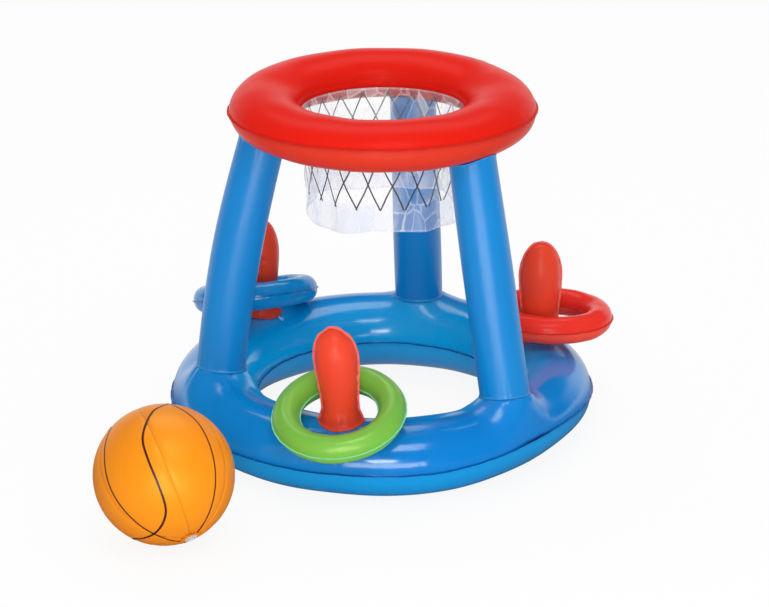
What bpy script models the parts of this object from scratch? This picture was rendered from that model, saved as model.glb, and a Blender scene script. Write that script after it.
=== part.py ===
"""Floating basketball hoop for the pool: an inflatable set of welded vinyl sheets.

A wide base ring floats on the water. Three leaning legs carry a hoop with a clear net sleeve,
three pegs on the base take tossed rings, and a small ball stands beside the set. Every chamber
has a valve seat with a hinged plug. Metres, +Z up, the base stands on z = 0.
"""

import math
from dataclasses import dataclass

import bpy
from mathutils import Matrix, Vector

# Sheet and clearances
SHEET = 0.0003
GAP = 0.0003
WELD_GAP = 0.0004
SEAM_OFFSET = GAP / 2 + SHEET

# Base ring
BASE_CENTRE_RADIUS = 0.2415
BASE_HALF_WIDTH = 0.0600
BASE_HALF_HEIGHT = 0.0525
BASE_SEAM_WIDTH = 0.0035
BASE_FOOT_DEPTH = 0.0010

# Hoop
HOOP_CENTRE_RADIUS = 0.166
HOOP_CENTRE_HEIGHT = 0.4777
HOOP_HALF_WIDTH = 0.0490
HOOP_HALF_HEIGHT = 0.0340
HOOP_SEAM_WIDTH = 0.0030

# Legs
LEG_FOOT_RADIUS = 0.0350
LEG_HEAD_RADIUS = 0.0330
LEG_LIP = 0.0040
LEG_LIP_RISE = 0.0040
LEG_BULGE = 0.0008
LEG_LOW_SHARE = 0.30
LEG_HIGH_SHARE = 0.72
LEG_REACH_MARGIN = 0.050

# How far the legs' ends lie outside the rings' centre lines, and how far a leg bows out
LEG_RIGHT_FOOT_SHIFT = 0.0010
LEG_LEFT_FOOT_SHIFT = -0.0030
LEG_FRONT_HEAD_SHIFT = 0.0080
LEG_BACK_HEAD_SHIFT = 0.0020
LEG_LEFT_BOW = 0.0080

# Pegs, and how far two of them stand outside the base's centre line
PEG_RIGHT_SHIFT = 0.0015
PEG_LEFT_SHIFT = 0.0120
PEG_HEIGHT = 0.148
PEG_FOOT_HALF_WIDTH = 0.0285
PEG_NECK_HALF_WIDTH = 0.0240
PEG_BELLY_HALF_WIDTH = 0.0290
PEG_NECK_HEIGHT = 0.020
PEG_BELLY_HEIGHT = 0.092
PEG_DEPTH_RATIO = 0.92
PEG_SEAM_WIDTH = 0.0030
PEG_LIP = 0.0035
PEG_LIP_RISE = 0.0030

# Net sleeve
NET_LENGTH = 0.157
NET_TAPER = 0.0030
NET_FOLD_DEPTH = 0.0035
NET_FOLDS = 7
NET_SMALL_FOLDS = 11
NET_SMALL_FOLD_SHARE = 0.5
NET_SMALL_FOLD_TURN = 1.0
NET_HEM_WAVE = 0.0050
NET_HEM_WAVES = 3
NET_HEM_TURN = 0.6

# Toss rings
TOSS_CENTRE_RADIUS = 0.0750
TOSS_HALF_WIDTH = 0.0170
TOSS_HALF_HEIGHT = 0.0200
TOSS_SEAM_WIDTH = 0.0020
TOSS_PEG_CLEARANCE = 0.0010

# Ball
BALL_RADIUS = 0.0950
BALL_STANDOFF = 0.0937
BALL_HEADING = math.radians(-111.3)
BALL_AXIS_HEADING = math.radians(138.9)
BALL_AXIS_TILT = math.radians(45.2)
BALL_GORES = 6
BALL_GORE_END_RADIUS = 0.0100
BALL_SEAM_DEPTH = 0.0025
BALL_CAP_RADIUS = 0.0145

# Air holes through the base sheet under legs and pegs
AIR_HOLE_RADIUS = 0.0080

# Facet counts
BASE_SEGMENTS = 60
BASE_ARC_STEPS = 8
BASE_FLOOR_ARC_STEPS = 6
HOOP_SEGMENTS = 44
HOOP_ARC_STEPS = 6
TOSS_SEGMENTS = 22
TOSS_ARC_STEPS = 4
LEG_SIDES = 22
PEG_COLUMNS = 6
NET_COLUMNS = 46
NET_ROWS = 4
GORE_COLUMNS = 3
GORE_ROWS = 7
CAP_SIDES = 12
VALVE_SIDES = 12
PEG_DOME_ANGLES = (30, 54, 74)
KNUCKLE_ANGLES = (-45, 0, 45)
CUTTER_TURN = 0.3
CREASE_ANGLE = math.radians(40)
SOLVER_STEPS = 50

BLUE = (0.000, 0.190, 0.560, 1.0)
RED = (0.800, 0.022, 0.016, 1.0)
GREEN = (0.190, 0.540, 0.070, 1.0)
CLEAR_BLUE = (0.050, 0.300, 0.700, 1.0)
ORANGE = (0.900, 0.340, 0.015, 1.0)
CLEAR = (0.850, 0.900, 0.930, 1.0)


@dataclass(frozen=True)
class Tube:
    """An inflated ring of two welded sheets, lying flat about its own centre."""

    centre_radius: float
    half_width: float
    half_height: float
    seam_width: float

    @property
    def arc_height(self):
        """Height of each sheet's arch above its own seam flange."""
        return self.half_height - SEAM_OFFSET

    @property
    def outer_radius(self):
        """Radius over the outer seam flange."""
        return self.centre_radius + self.half_width + self.seam_width

    @property
    def hole_radius(self):
        """Radius of the free hole inside the inner seam flange."""
        return self.centre_radius - self.half_width - self.seam_width

    def clearance(self, point):
        """Least distance of a point in the ring's frame from the inflated wall, negative inside."""
        across = (math.hypot(point.x, point.y) - self.centre_radius) / self.half_width
        along = max(abs(point.z) - SEAM_OFFSET, 0.0) / self.arc_height
        return (math.hypot(across, along) - 1.0) * min(self.half_width, self.arc_height)

    def wall_point(self, turn, lift):
        """Point and outward normal of the upper sheet, at a turn round the ring and a lift."""
        out = Vector((math.cos(turn), math.sin(turn), 0.0))
        reach = self.centre_radius + self.half_width * math.cos(lift)
        place = out * reach + Vector((0.0, 0.0, SEAM_OFFSET + self.arc_height * math.sin(lift)))
        normal = out * (math.cos(lift) / self.half_width)
        normal.z = math.sin(lift) / self.arc_height
        return place, normal.normalized()


@dataclass(frozen=True)
class Sphere:
    """A round wall about its own centre."""

    radius: float

    def clearance(self, point):
        """Distance of a point from the wall, negative inside."""
        return point.length - self.radius


@dataclass(frozen=True)
class LegStation:
    """Where a leg stands on the base ring and meets the hoop."""

    name: str
    foot_angle: float
    foot_shift: float
    head_angle: float
    head_shift: float
    bow: float

    @property
    def foot_radius(self):
        """Distance of the foot from the base's axis."""
        return BASE_CENTRE_RADIUS + self.foot_shift

    @property
    def head_radius(self):
        """Distance of the head from the hoop's axis."""
        return HOOP_CENTRE_RADIUS + self.head_shift


@dataclass(frozen=True)
class PegStation:
    """Where a peg stands, and the heading of its side seams."""

    name: str
    angle: float
    shift: float
    seam_heading: float

    @property
    def radius(self):
        """Distance of the peg from the base's axis."""
        return BASE_CENTRE_RADIUS + self.shift


@dataclass(frozen=True)
class TossPlace:
    """How a tossed ring has come to rest round its peg."""

    name: str
    peg: PegStation
    shift_heading: float
    slack: float
    tilt: float
    roll: float
    valve_turn: float
    colour: tuple


@dataclass(frozen=True)
class ValveSize:
    """One size of valve: a flange with a stem, and a plug on a hinged strap."""

    flange_radius: float
    flange_thickness: float
    bore_radius: float
    stem_wall: float
    stem_length: float
    head_radius: float
    head_thickness: float
    nose_radius: float
    nose_tip_radius: float
    nose_length: float
    hinge_distance: float
    strap_width: float
    strap_thickness: float
    lug_length: float

    @property
    def stem_radius(self):
        """Outer radius of the stem."""
        return self.bore_radius + self.stem_wall

    @property
    def mouth(self):
        """Height of the flange's top face over the sheet."""
        return GAP + self.flange_thickness

    @property
    def hinge_height(self):
        """Height of the hinge axis over the sheet."""
        return self.mouth + GAP + self.head_thickness / 2


BASE = Tube(BASE_CENTRE_RADIUS, BASE_HALF_WIDTH, BASE_HALF_HEIGHT, BASE_SEAM_WIDTH)
HOOP = Tube(HOOP_CENTRE_RADIUS, HOOP_HALF_WIDTH, HOOP_HALF_HEIGHT, HOOP_SEAM_WIDTH)
TOSS = Tube(TOSS_CENTRE_RADIUS, TOSS_HALF_WIDTH, TOSS_HALF_HEIGHT, TOSS_SEAM_WIDTH)

BASE_MID_HEIGHT = BASE_HALF_HEIGHT - BASE_FOOT_DEPTH
BASE_CREST_HEIGHT = BASE_MID_HEIGHT + BASE_HALF_HEIGHT

LEGS = (
    LegStation("leg_right", math.radians(-30), LEG_RIGHT_FOOT_SHIFT,
               math.radians(-30), LEG_FRONT_HEAD_SHIFT, 0.0),
    LegStation("leg_back", math.radians(92), 0.0, math.radians(90), LEG_BACK_HEAD_SHIFT, 0.0),
    LegStation("leg_left", math.radians(210), LEG_LEFT_FOOT_SHIFT,
               math.radians(210), LEG_FRONT_HEAD_SHIFT, LEG_LEFT_BOW),
)

PEG_FRONT = PegStation("peg_front", math.radians(-90), 0.0, math.radians(10))
PEG_RIGHT = PegStation("peg_right", math.radians(35), PEG_RIGHT_SHIFT, math.radians(20))
PEG_LEFT = PegStation("peg_left", math.radians(150), PEG_LEFT_SHIFT, math.radians(105))
PEGS = (PEG_FRONT, PEG_RIGHT, PEG_LEFT)

TOSSED = (
    TossPlace("green_ring", PEG_FRONT, math.radians(23), 1.0, math.radians(18.9),
              math.radians(1.1), math.radians(180), GREEN),
    TossPlace("red_ring", PEG_RIGHT, math.radians(32), 1.0, math.radians(2.5),
              math.radians(-3.5), math.radians(200), RED),
    TossPlace("blue_ring", PEG_LEFT, math.radians(0), 0.6, math.radians(17.0),
              math.radians(7.5), math.radians(0), CLEAR_BLUE),
)

LARGE_VALVE = ValveSize(
    flange_radius=0.0120, flange_thickness=0.0008, bore_radius=0.0035, stem_wall=0.0013,
    stem_length=0.0090, head_radius=0.0060, head_thickness=0.0012, nose_radius=0.0030,
    nose_tip_radius=0.0023, nose_length=0.0037, hinge_distance=0.0090, strap_width=0.0032,
    strap_thickness=0.0008, lug_length=0.0014,
)
SMALL_VALVE = ValveSize(
    flange_radius=0.0092, flange_thickness=0.0007, bore_radius=0.0027, stem_wall=0.0011,
    stem_length=0.0060, head_radius=0.0045, head_thickness=0.0010, nose_radius=0.0022,
    nose_tip_radius=0.0017, nose_length=0.0026, hinge_distance=0.0067, strap_width=0.0026,
    strap_thickness=0.0007, lug_length=0.0012,
)
BASE_VALVE_TURN = math.radians(121)
BASE_VALVE_LIFT = math.radians(38)
HOOP_VALVE_TURN = math.radians(60)
HOOP_VALVE_LIFT = math.radians(35)
TOSS_VALVE_LIFT = math.radians(50)


def clear_scene():
    """Remove every object of the open scene."""
    for thing in list(bpy.data.objects):
        bpy.data.objects.remove(thing, do_unlink=True)


def vinyl(name, colour, roughness=0.22, alpha=1.0):
    """Make a glossy vinyl material."""
    material = bpy.data.materials.new(name)
    material.use_nodes = True
    shader = material.node_tree.nodes["Principled BSDF"]
    shader.inputs["Base Color"].default_value = colour
    shader.inputs["Roughness"].default_value = roughness
    shader.inputs["Metallic"].default_value = 0.0
    shader.inputs["Alpha"].default_value = alpha
    return material


def make_empty(name, parent=None, matrix=None):
    """Add an empty that carries pieces."""
    empty = bpy.data.objects.new(name, None)
    bpy.context.scene.collection.objects.link(empty)
    empty.parent = parent
    empty.matrix_local = matrix or Matrix.Identity(4)
    return empty


def make_object(name, vertices, faces, parent, material=None, matrix=None):
    """Add a mesh object from points and faces, shaded smooth with sharp creases."""
    mesh = bpy.data.meshes.new(name)
    mesh.from_pydata([tuple(v) for v in vertices], [], faces)
    mesh.shade_smooth()
    mesh.set_sharp_from_angle(angle=CREASE_ANGLE)
    thing = bpy.data.objects.new(name, mesh)
    if material:
        mesh.materials.append(material)
    bpy.context.scene.collection.objects.link(thing)
    thing.parent = parent
    thing.matrix_local = matrix or Matrix.Identity(4)
    return thing


def grid_faces(rows, columns, wrap_rows=False, wrap_columns=False):
    """Quads over a grid of points stored row by row."""
    faces = []
    for i in range(rows if wrap_rows else rows - 1):
        for j in range(columns if wrap_columns else columns - 1):
            following = (i + 1) % rows
            beside = (j + 1) % columns
            faces.append((i * columns + j, i * columns + beside,
                          following * columns + beside, following * columns + j))
    return faces


def thicken(thing, thickness):
    """Give an open sheet its wall, on the side its faces turn away from."""
    wall = thing.modifiers.new("wall", "SOLIDIFY")
    wall.thickness = thickness
    wall.offset = -1.0


def make_cutter(thing):
    """Hide a helper shape that only cuts or joins."""
    thing.hide_render = True
    thing.display_type = "WIRE"
    return thing


def combine(thing, helper, operation):
    """Cut a helper from an object, or join it on."""
    step = thing.modifiers.new(helper.name, "BOOLEAN")
    step.operation = operation
    step.solver = "EXACT"
    step.object = helper
    make_cutter(helper)


def cylinder_points(radius, low, high, sides):
    """Points and faces of a closed cylinder along Z."""
    vertices = []
    for height in (low, high):
        vertices += [polar(2 * math.pi * (k + CUTTER_TURN) / sides, radius, height) for k in range(sides)]
    faces = [(k, (k + 1) % sides, sides + (k + 1) % sides, sides + k) for k in range(sides)]
    faces.append(tuple(reversed(range(sides))))
    faces.append(tuple(range(sides, 2 * sides)))
    return vertices, faces


def solve(measure, low, high):
    """Value between low and high at which a rising measure passes zero."""
    for _ in range(SOLVER_STEPS):
        middle = (low + high) / 2
        if measure(middle) > 0:
            high = middle
        else:
            low = middle
    return high


def blend(start, end, share):
    """Smooth step from start to end."""
    share = min(max(share, 0.0), 1.0)
    return start + (end - start) * share * share * (3 - 2 * share)


def polar(angle, radius, height=0.0):
    """Point at an angle and radius about Z."""
    return Vector((radius * math.cos(angle), radius * math.sin(angle), height))


# Rings of two sheets

def ring_profile(tube, side, arc_steps, foot_depth=0.0):
    """Outer face of one sheet in section, from the inner flange tip to the outer one.

    A foot depth presses the crest of the arch flat by that much, where the ring stands.
    """
    lifts = [math.pi * k / arc_steps for k in range(arc_steps + 1)]
    if foot_depth > 0:
        foot_edge = math.asin(1 - foot_depth / tube.arc_height)
        rising = [2 * foot_edge * k / arc_steps for k in range(arc_steps // 2 + 1)]
        lifts = rising + [math.pi - lift for lift in reversed(rising)]
    seam = side * SEAM_OFFSET
    profile = [(tube.outer_radius, seam)]
    for lift in lifts:
        reach = tube.centre_radius + tube.half_width * math.cos(lift)
        profile.append((reach, seam + side * tube.arc_height * math.sin(lift)))
    profile.append((tube.hole_radius, seam))
    return profile[::-1] if side > 0 else profile


def make_ring_sheet(name, tube, side, segments, arc_steps, parent, material, foot_depth=0.0):
    """One annular sheet with its two seam flanges, arched by the air inside."""
    profile = ring_profile(tube, side, arc_steps, foot_depth)
    vertices = []
    for i in range(segments):
        angle = 2 * math.pi * i / segments
        vertices += [polar(angle, reach, height) for reach, height in profile]
    faces = grid_faces(segments, len(profile), wrap_rows=True)
    sheet = make_object(name, vertices, faces, parent, material)
    thicken(sheet, SHEET)
    return sheet


# Legs

def leg_axis(station):
    """Foot and head of a leg's centre line, on the crest of the base and under the hoop."""
    foot = polar(station.foot_angle, station.foot_radius, BASE_CREST_HEIGHT)
    head = polar(station.head_angle, station.head_radius, HOOP_CENTRE_HEIGHT - HOOP_HALF_HEIGHT)
    return foot, head


def leg_frame(station):
    """Axis directions of a leg: along, outward and sideways."""
    foot, head = leg_axis(station)
    along = (head - foot).normalized()
    sideways = Vector((0, 0, 1)).cross(polar(station.foot_angle, 1.0)).normalized()
    outward = sideways.cross(along).normalized()
    return along, outward, sideways


def leg_offset(radial, outward, bow, share):
    """Offset of a leg's wall from its straight centre line at a share of its length."""
    swell = math.sin(math.pi * share)
    straight = LEG_FOOT_RADIUS + (LEG_HEAD_RADIUS - LEG_FOOT_RADIUS) * share
    return radial * (straight + LEG_BULGE * swell) + outward * (bow * swell)


def make_leg(station, parent, material):
    """A rolled sheet with a weld lip at each end that follows the ring it is welded to."""
    foot, head = leg_axis(station)
    along, outward, sideways = leg_frame(station)
    middle = (foot + head) / 2
    half = (head - foot).length / 2
    reach = half + LEG_REACH_MARGIN
    base_centre = Vector((0, 0, BASE_MID_HEIGHT))
    hoop_centre = Vector((0, 0, HOOP_CENTRE_HEIGHT))
    seat = WELD_GAP + SHEET

    def reach_down(offset):
        """Distance below the leg's middle at which a line along it meets the base."""
        return solve(lambda t: seat - BASE.clearance(middle + offset - along * t - base_centre), 0, reach)

    def reach_up(offset):
        """Distance above the leg's middle at which a line along it meets the hoop."""
        return solve(lambda t: seat - HOOP.clearance(middle + offset + along * t - hoop_centre), 0, reach)

    vertices = []
    for k in range(LEG_SIDES):
        angle = 2 * math.pi * k / LEG_SIDES
        radial = outward * math.cos(angle) + sideways * math.sin(angle)
        top_lip = radial * (LEG_HEAD_RADIUS + LEG_LIP)
        top_root = radial * LEG_HEAD_RADIUS
        foot_root = radial * LEG_FOOT_RADIUS
        foot_lip = radial * (LEG_FOOT_RADIUS + LEG_LIP)
        vertices += [
            middle + top_lip + along * reach_up(top_lip),
            middle + top_root + along * (reach_up(top_root) - LEG_LIP_RISE),
            middle + along * half * (2 * LEG_HIGH_SHARE - 1)
            + leg_offset(radial, outward, station.bow, LEG_HIGH_SHARE),
            middle + along * half * (2 * LEG_LOW_SHARE - 1)
            + leg_offset(radial, outward, station.bow, LEG_LOW_SHARE),
            middle + foot_root - along * (reach_down(foot_root) - LEG_LIP_RISE),
            middle + foot_lip - along * reach_down(foot_lip),
        ]
    faces = grid_faces(LEG_SIDES, 6, wrap_rows=True)
    leg = make_object(station.name, vertices, faces, parent, material)
    thicken(leg, SHEET)
    return leg


# Pegs

def peg_half_width(height):
    """Half width of a peg's pouch, inside its side seams."""
    if height < PEG_NECK_HEIGHT:
        return blend(PEG_FOOT_HALF_WIDTH, PEG_NECK_HALF_WIDTH, height / PEG_NECK_HEIGHT)
    if height < PEG_BELLY_HEIGHT:
        share = (height - PEG_NECK_HEIGHT) / (PEG_BELLY_HEIGHT - PEG_NECK_HEIGHT)
        return blend(PEG_NECK_HALF_WIDTH, PEG_BELLY_HALF_WIDTH, share)
    share = (height - PEG_BELLY_HEIGHT) / (PEG_HEIGHT - PEG_SEAM_WIDTH - PEG_BELLY_HEIGHT)
    return PEG_BELLY_HALF_WIDTH * math.sqrt(max(0.0, 1 - share * share))


def peg_heights():
    """Heights of a peg's rows of points, closer together over the rounded top."""
    dome = PEG_HEIGHT - PEG_SEAM_WIDTH - PEG_BELLY_HEIGHT
    heights = [PEG_LIP_RISE, PEG_NECK_HEIGHT, PEG_BELLY_HEIGHT]
    return heights + [PEG_BELLY_HEIGHT + dome * math.sin(math.radians(a)) for a in PEG_DOME_ANGLES]


def peg_row(height, spread=0.0):
    """Points across one panel of a peg: a seam flange, the arch and the other seam flange."""
    width = peg_half_width(height) + spread
    depth = peg_half_width(height) * PEG_DEPTH_RATIO + spread
    row = [(width + PEG_SEAM_WIDTH, 0.0)]
    for k in range(PEG_COLUMNS + 1):
        angle = math.pi * k / PEG_COLUMNS
        row.append((width * math.cos(angle), depth * math.sin(angle)))
    row.append((-width - PEG_SEAM_WIDTH, 0.0))
    return row


def make_peg_panel(station, side, name, parent, material):
    """One of the two panels of a peg, with side seams, a rounded top and a lip on the base."""
    seam = Vector((math.cos(station.seam_heading), math.sin(station.seam_heading), 0))
    normal = Vector((-seam.y, seam.x, 0)) * side
    foot = polar(station.angle, station.radius)
    base_centre = Vector((0, 0, BASE_MID_HEIGHT))
    seat = WELD_GAP + SHEET

    def place(across, deep, height):
        """World point of a panel point."""
        return foot + seam * (across * side) + normal * (deep + SEAM_OFFSET) + Vector((0, 0, height))

    def ground(across, deep):
        """Height at which a panel point meets the base ring."""
        point = place(across, deep, 0.0)
        return solve(lambda z: BASE.clearance(point + Vector((0, 0, z)) - base_centre) - seat,
                     BASE_MID_HEIGHT, BASE_CREST_HEIGHT + LEG_LIP_RISE)

    heights = peg_heights()
    vertices = []
    for across, deep in peg_row(0.0, PEG_LIP):
        vertices.append(place(across, deep, ground(across, deep)))
    for height in heights:
        for across, deep in peg_row(height):
            share = max(0.0, 1 - height / PEG_NECK_HEIGHT)
            fall = (ground(across, deep) - BASE_CREST_HEIGHT) * share
            vertices.append(place(across, deep, BASE_CREST_HEIGHT + height + fall))
    columns = PEG_COLUMNS + 3
    rows = len(heights) + 1
    faces = grid_faces(rows, columns)
    tip = len(vertices)
    vertices.append(place(0.0, 0.0, BASE_CREST_HEIGHT + PEG_HEIGHT - PEG_SEAM_WIDTH))
    vertices.append(place(0.0, 0.0, BASE_CREST_HEIGHT + PEG_HEIGHT))
    last = (rows - 1) * columns
    faces.append((last, last + 1, tip, tip + 1))
    for j in range(1, columns - 2):
        faces.append((last + j, last + j + 1, tip))
    faces.append((last + columns - 2, last + columns - 1, tip + 1, tip))
    panel = make_object(name, vertices, faces, parent, material)
    thicken(panel, SHEET)
    return panel


# Net sleeve

def make_net_sleeve(parent, material):
    """The clear sleeve that hangs inside the hoop's inner seam, with soft folds and a wavy hem."""
    top_radius = HOOP.hole_radius - GAP
    crest = 1 + NET_SMALL_FOLD_SHARE
    vertices = []
    for i in range(NET_COLUMNS):
        angle = 2 * math.pi * i / NET_COLUMNS
        wave = math.cos(NET_FOLDS * angle)
        wave += NET_SMALL_FOLD_SHARE * math.cos(NET_SMALL_FOLDS * angle + NET_SMALL_FOLD_TURN)
        drop = NET_LENGTH + NET_HEM_WAVE * math.cos(NET_HEM_WAVES * angle + NET_HEM_TURN)
        for j in range(NET_ROWS + 1):
            share = j / NET_ROWS
            radius = top_radius - NET_TAPER * share + NET_FOLD_DEPTH * share * (wave - crest)
            vertices.append(polar(angle, radius, HOOP_CENTRE_HEIGHT - drop * share))
    faces = grid_faces(NET_COLUMNS, NET_ROWS + 1, wrap_rows=True)
    sleeve = make_object("net_sleeve", vertices, faces, parent, material)
    thicken(sleeve, SHEET)
    return sleeve


# Ball

def make_gore(name, turn, parent, material):
    """One orange panel of the ball, with its two seam flanges turned inwards."""
    half_span = math.pi / BALL_GORES
    top = math.acos(BALL_GORE_END_RADIUS / BALL_RADIUS)
    seam_side = GAP / 2
    vertices = []
    for i in range(GORE_ROWS + 1):
        latitude = top * (2 * i / GORE_ROWS - 1)
        ring = BALL_RADIUS * math.cos(latitude)
        height = BALL_RADIUS * math.sin(latitude)
        edge = half_span - math.asin(seam_side / ring)
        inner = 1 - BALL_SEAM_DEPTH / BALL_RADIUS
        row = []
        for j in range(GORE_COLUMNS + 1):
            angle = edge * (2 * j / GORE_COLUMNS - 1)
            row.append(polar(angle, ring, height))
        for end, heading, place in ((row[0], -half_span, 0), (row[-1], half_span, len(row) + 1)):
            flange = end * inner
            beside = Vector((-math.sin(heading), math.cos(heading), 0)) * math.copysign(1, heading)
            flange += beside * (-seam_side - flange.dot(beside))
            row.insert(place, flange)
        vertices += row
    faces = grid_faces(GORE_ROWS + 1, GORE_COLUMNS + 3)
    gore = make_object(name, vertices, faces, parent, material, Matrix.Rotation(turn, 4, "Z"))
    thicken(gore, SHEET)
    return gore


def make_ball_cap(name, side, parent, material):
    """The small disc that covers the gores' ends at one pole."""
    radius = BALL_RADIUS + GAP + SHEET
    spread = math.asin(BALL_CAP_RADIUS / radius)
    vertices = [Vector((0, 0, radius * side))]
    for share in (0.5, 1.0):
        for k in range(CAP_SIDES):
            angle = 2 * math.pi * k / CAP_SIDES * side
            vertices.append(polar(angle, radius * math.sin(spread * share),
                                  radius * math.cos(spread * share) * side))
    faces = [(0, 1 + k, 1 + (k + 1) % CAP_SIDES) for k in range(CAP_SIDES)]
    faces += [(1 + k, 1 + CAP_SIDES + k, 1 + CAP_SIDES + (k + 1) % CAP_SIDES, 1 + (k + 1) % CAP_SIDES)
              for k in range(CAP_SIDES)]
    cap = make_object(name, vertices, faces, parent, material)
    thicken(cap, SHEET)
    return cap


# Valves

def revolve(profile, sides, closed_profile):
    """Points and faces of a profile turned about Z; a radius of zero gives one point on the axis."""
    vertices = []
    rings = []
    for radius, height in profile:
        if radius == 0.0:
            rings.append([len(vertices)] * sides)
            vertices.append(Vector((0, 0, height)))
            continue
        start = len(vertices)
        rings.append(list(range(start, start + sides)))
        vertices += [polar(2 * math.pi * k / sides, radius, height) for k in range(sides)]
    faces = []
    count = len(profile)
    for i in range(count if closed_profile else count - 1):
        here = rings[i]
        there = rings[(i + 1) % count]
        for k in range(sides):
            corners = [here[k], there[k], there[(k + 1) % sides], here[(k + 1) % sides]]
            face = tuple(dict.fromkeys(corners))
            faces.append(face)
    return vertices, faces


def extrude_outline(outline, width):
    """Points and faces of an outline in the XZ plane, extruded along Y about the middle."""
    count = len(outline)
    vertices = [Vector((x, -width / 2, z)) for x, z in outline]
    vertices += [Vector((x, width / 2, z)) for x, z in outline]
    faces = [(k, (k + 1) % count, count + (k + 1) % count, count + k) for k in range(count)]
    faces.append(tuple(reversed(range(count))))
    faces.append(tuple(range(count, 2 * count)))
    return vertices, faces


def make_valve(name, size, wall, frame, carrier, seat_material, plug_material):
    """A valve seat that lies on a curved wall, its plug with the hinge, and the hole's cutter."""
    inverse = frame.copy()

    def drape(point):
        """Lower a flange point onto the curved wall."""
        fall = solve(lambda z: wall.clearance(inverse @ Vector((point.x, point.y, z))),
                     -size.flange_radius, size.flange_radius)
        return Vector((point.x, point.y, point.z + min(fall, 0.0)))

    seat_profile = [
        (size.bore_radius, -size.stem_length),
        (size.stem_radius, -size.stem_length),
        (size.stem_radius, GAP),
        (size.flange_radius, GAP),
        (size.flange_radius, size.mouth),
        (size.stem_radius, size.mouth),
        (size.bore_radius, size.mouth),
    ]
    vertices, faces = revolve(seat_profile, VALVE_SIDES, True)
    flange = range(2 * VALVE_SIDES, 6 * VALVE_SIDES)
    vertices = [drape(v) if k in flange else v for k, v in enumerate(vertices)]
    seat = make_object(name + "_valve_seat", vertices, faces, carrier, seat_material, frame)

    knuckle = size.head_thickness / 2
    lug_near = size.hinge_distance + knuckle + GAP
    lug_far = lug_near + size.lug_length
    lug_top = size.hinge_height - GAP
    lug_low = size.mouth - size.flange_thickness / 2
    sink = solve(lambda z: wall.clearance(inverse @ Vector((lug_far, 0, z))),
                 -size.flange_radius, size.flange_radius)
    lug_outline = [(lug_near, lug_low + sink), (lug_far, lug_low + sink),
                   (lug_far, lug_top), (lug_near, lug_top)]
    vertices, faces = extrude_outline(lug_outline, size.strap_width)
    lug = make_object(name + "_valve_lug", vertices, faces, carrier, None, frame)
    combine(seat, lug, "UNION")

    hinge = make_empty(name + "_plug_hinge", carrier,
                       frame @ Matrix.Translation((size.hinge_distance, 0, size.hinge_height)))
    back = Matrix.Translation((-size.hinge_distance, 0, -size.hinge_height))
    head_low = size.mouth + GAP
    head_high = head_low + size.head_thickness
    plug_profile = [
        (0.0, head_low - size.nose_length),
        (size.nose_tip_radius, head_low - size.nose_length),
        (size.nose_radius, head_low),
        (size.head_radius, head_low),
        (size.head_radius, head_high),
        (0.0, head_high),
    ]
    vertices, faces = revolve(plug_profile, VALVE_SIDES, False)
    plug = make_object(name + "_plug", vertices, faces, hinge, plug_material, back)
    strap_start = size.head_radius - size.strap_width / 2
    strap_half = size.strap_thickness / 2
    outline = [(strap_start, size.hinge_height - strap_half)]
    for degrees in KNUCKLE_ANGLES:
        bend = math.radians(degrees)
        outline.append((size.hinge_distance + knuckle * math.cos(bend),
                        size.hinge_height + knuckle * math.sin(bend)))
    outline.append((strap_start, size.hinge_height + strap_half))
    vertices, faces = extrude_outline(outline, size.strap_width)
    strap = make_object(name + "_plug_strap", vertices, faces, hinge, None, back)
    combine(plug, strap, "UNION")

    vertices, faces = cylinder_points(size.stem_radius + GAP, -size.stem_length,
                                      size.stem_length, VALVE_SIDES)
    return make_object(name + "_valve_hole", vertices, faces, carrier, None, frame)


def wall_frame(place, normal, towards):
    """Frame on a wall: Z along its normal, X along a direction that lies in it."""
    along = (towards - normal * towards.dot(normal)).normalized()
    across = normal.cross(along)
    frame = Matrix((along, across, normal)).transposed().to_4x4()
    frame.translation = place
    return frame


def tube_valve_frame(tube, turn, lift):
    """Frame of a valve on a ring's upper sheet, hinged towards the next turn."""
    place, normal = tube.wall_point(turn, lift)
    return wall_frame(place, normal, Vector((-math.sin(turn), math.cos(turn), 0)))


# Toss rings

def toss_directions(place):
    """Outward slope, sideways and upward directions of a tossed ring."""
    out = polar(place.peg.angle, 1.0)
    side = Vector((-out.y, out.x, 0))
    up = Vector((0, 0, 1))
    slope = out * math.cos(place.tilt) - up * math.sin(place.tilt)
    face = out * math.sin(place.tilt) + up * math.cos(place.tilt)
    across = side * math.cos(place.roll) + face * math.sin(place.roll)
    return slope, across, slope.cross(across)


def toss_frame(place):
    """Frame of a tossed ring that leans on its peg and rests on the base."""
    slope, across, face = toss_directions(place)
    turn = Matrix((slope, across, face)).transposed().to_4x4()
    peg_reach = PEG_BELLY_HALF_WIDTH + PEG_SEAM_WIDTH
    play = TOSS.hole_radius * math.cos(place.tilt) - peg_reach - TOSS_PEG_CLEARANCE
    centre = polar(place.peg.angle, place.peg.radius)
    centre += polar(place.peg.angle + place.shift_heading, play * place.slack)
    profile = ring_profile(TOSS, -1, TOSS_ARC_STEPS)
    samples = []
    for i in range(TOSS_SEGMENTS):
        angle = 2 * math.pi * i / TOSS_SEGMENTS
        samples += [turn @ polar(angle, reach, height) for reach, height in profile]

    def lowest_clearance(height):
        """Least clearance of the ring's corners over the base, with its centre at a height."""
        shift = centre + Vector((0, 0, height - BASE_MID_HEIGHT))
        return min(BASE.clearance(sample + shift) for sample in samples) - GAP

    rest = solve(lowest_clearance, BASE_CREST_HEIGHT - TOSS_HALF_HEIGHT,
                 BASE_CREST_HEIGHT + TOSS_CENTRE_RADIUS)
    turn.translation = centre + Vector((0, 0, rest))
    return turn


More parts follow.
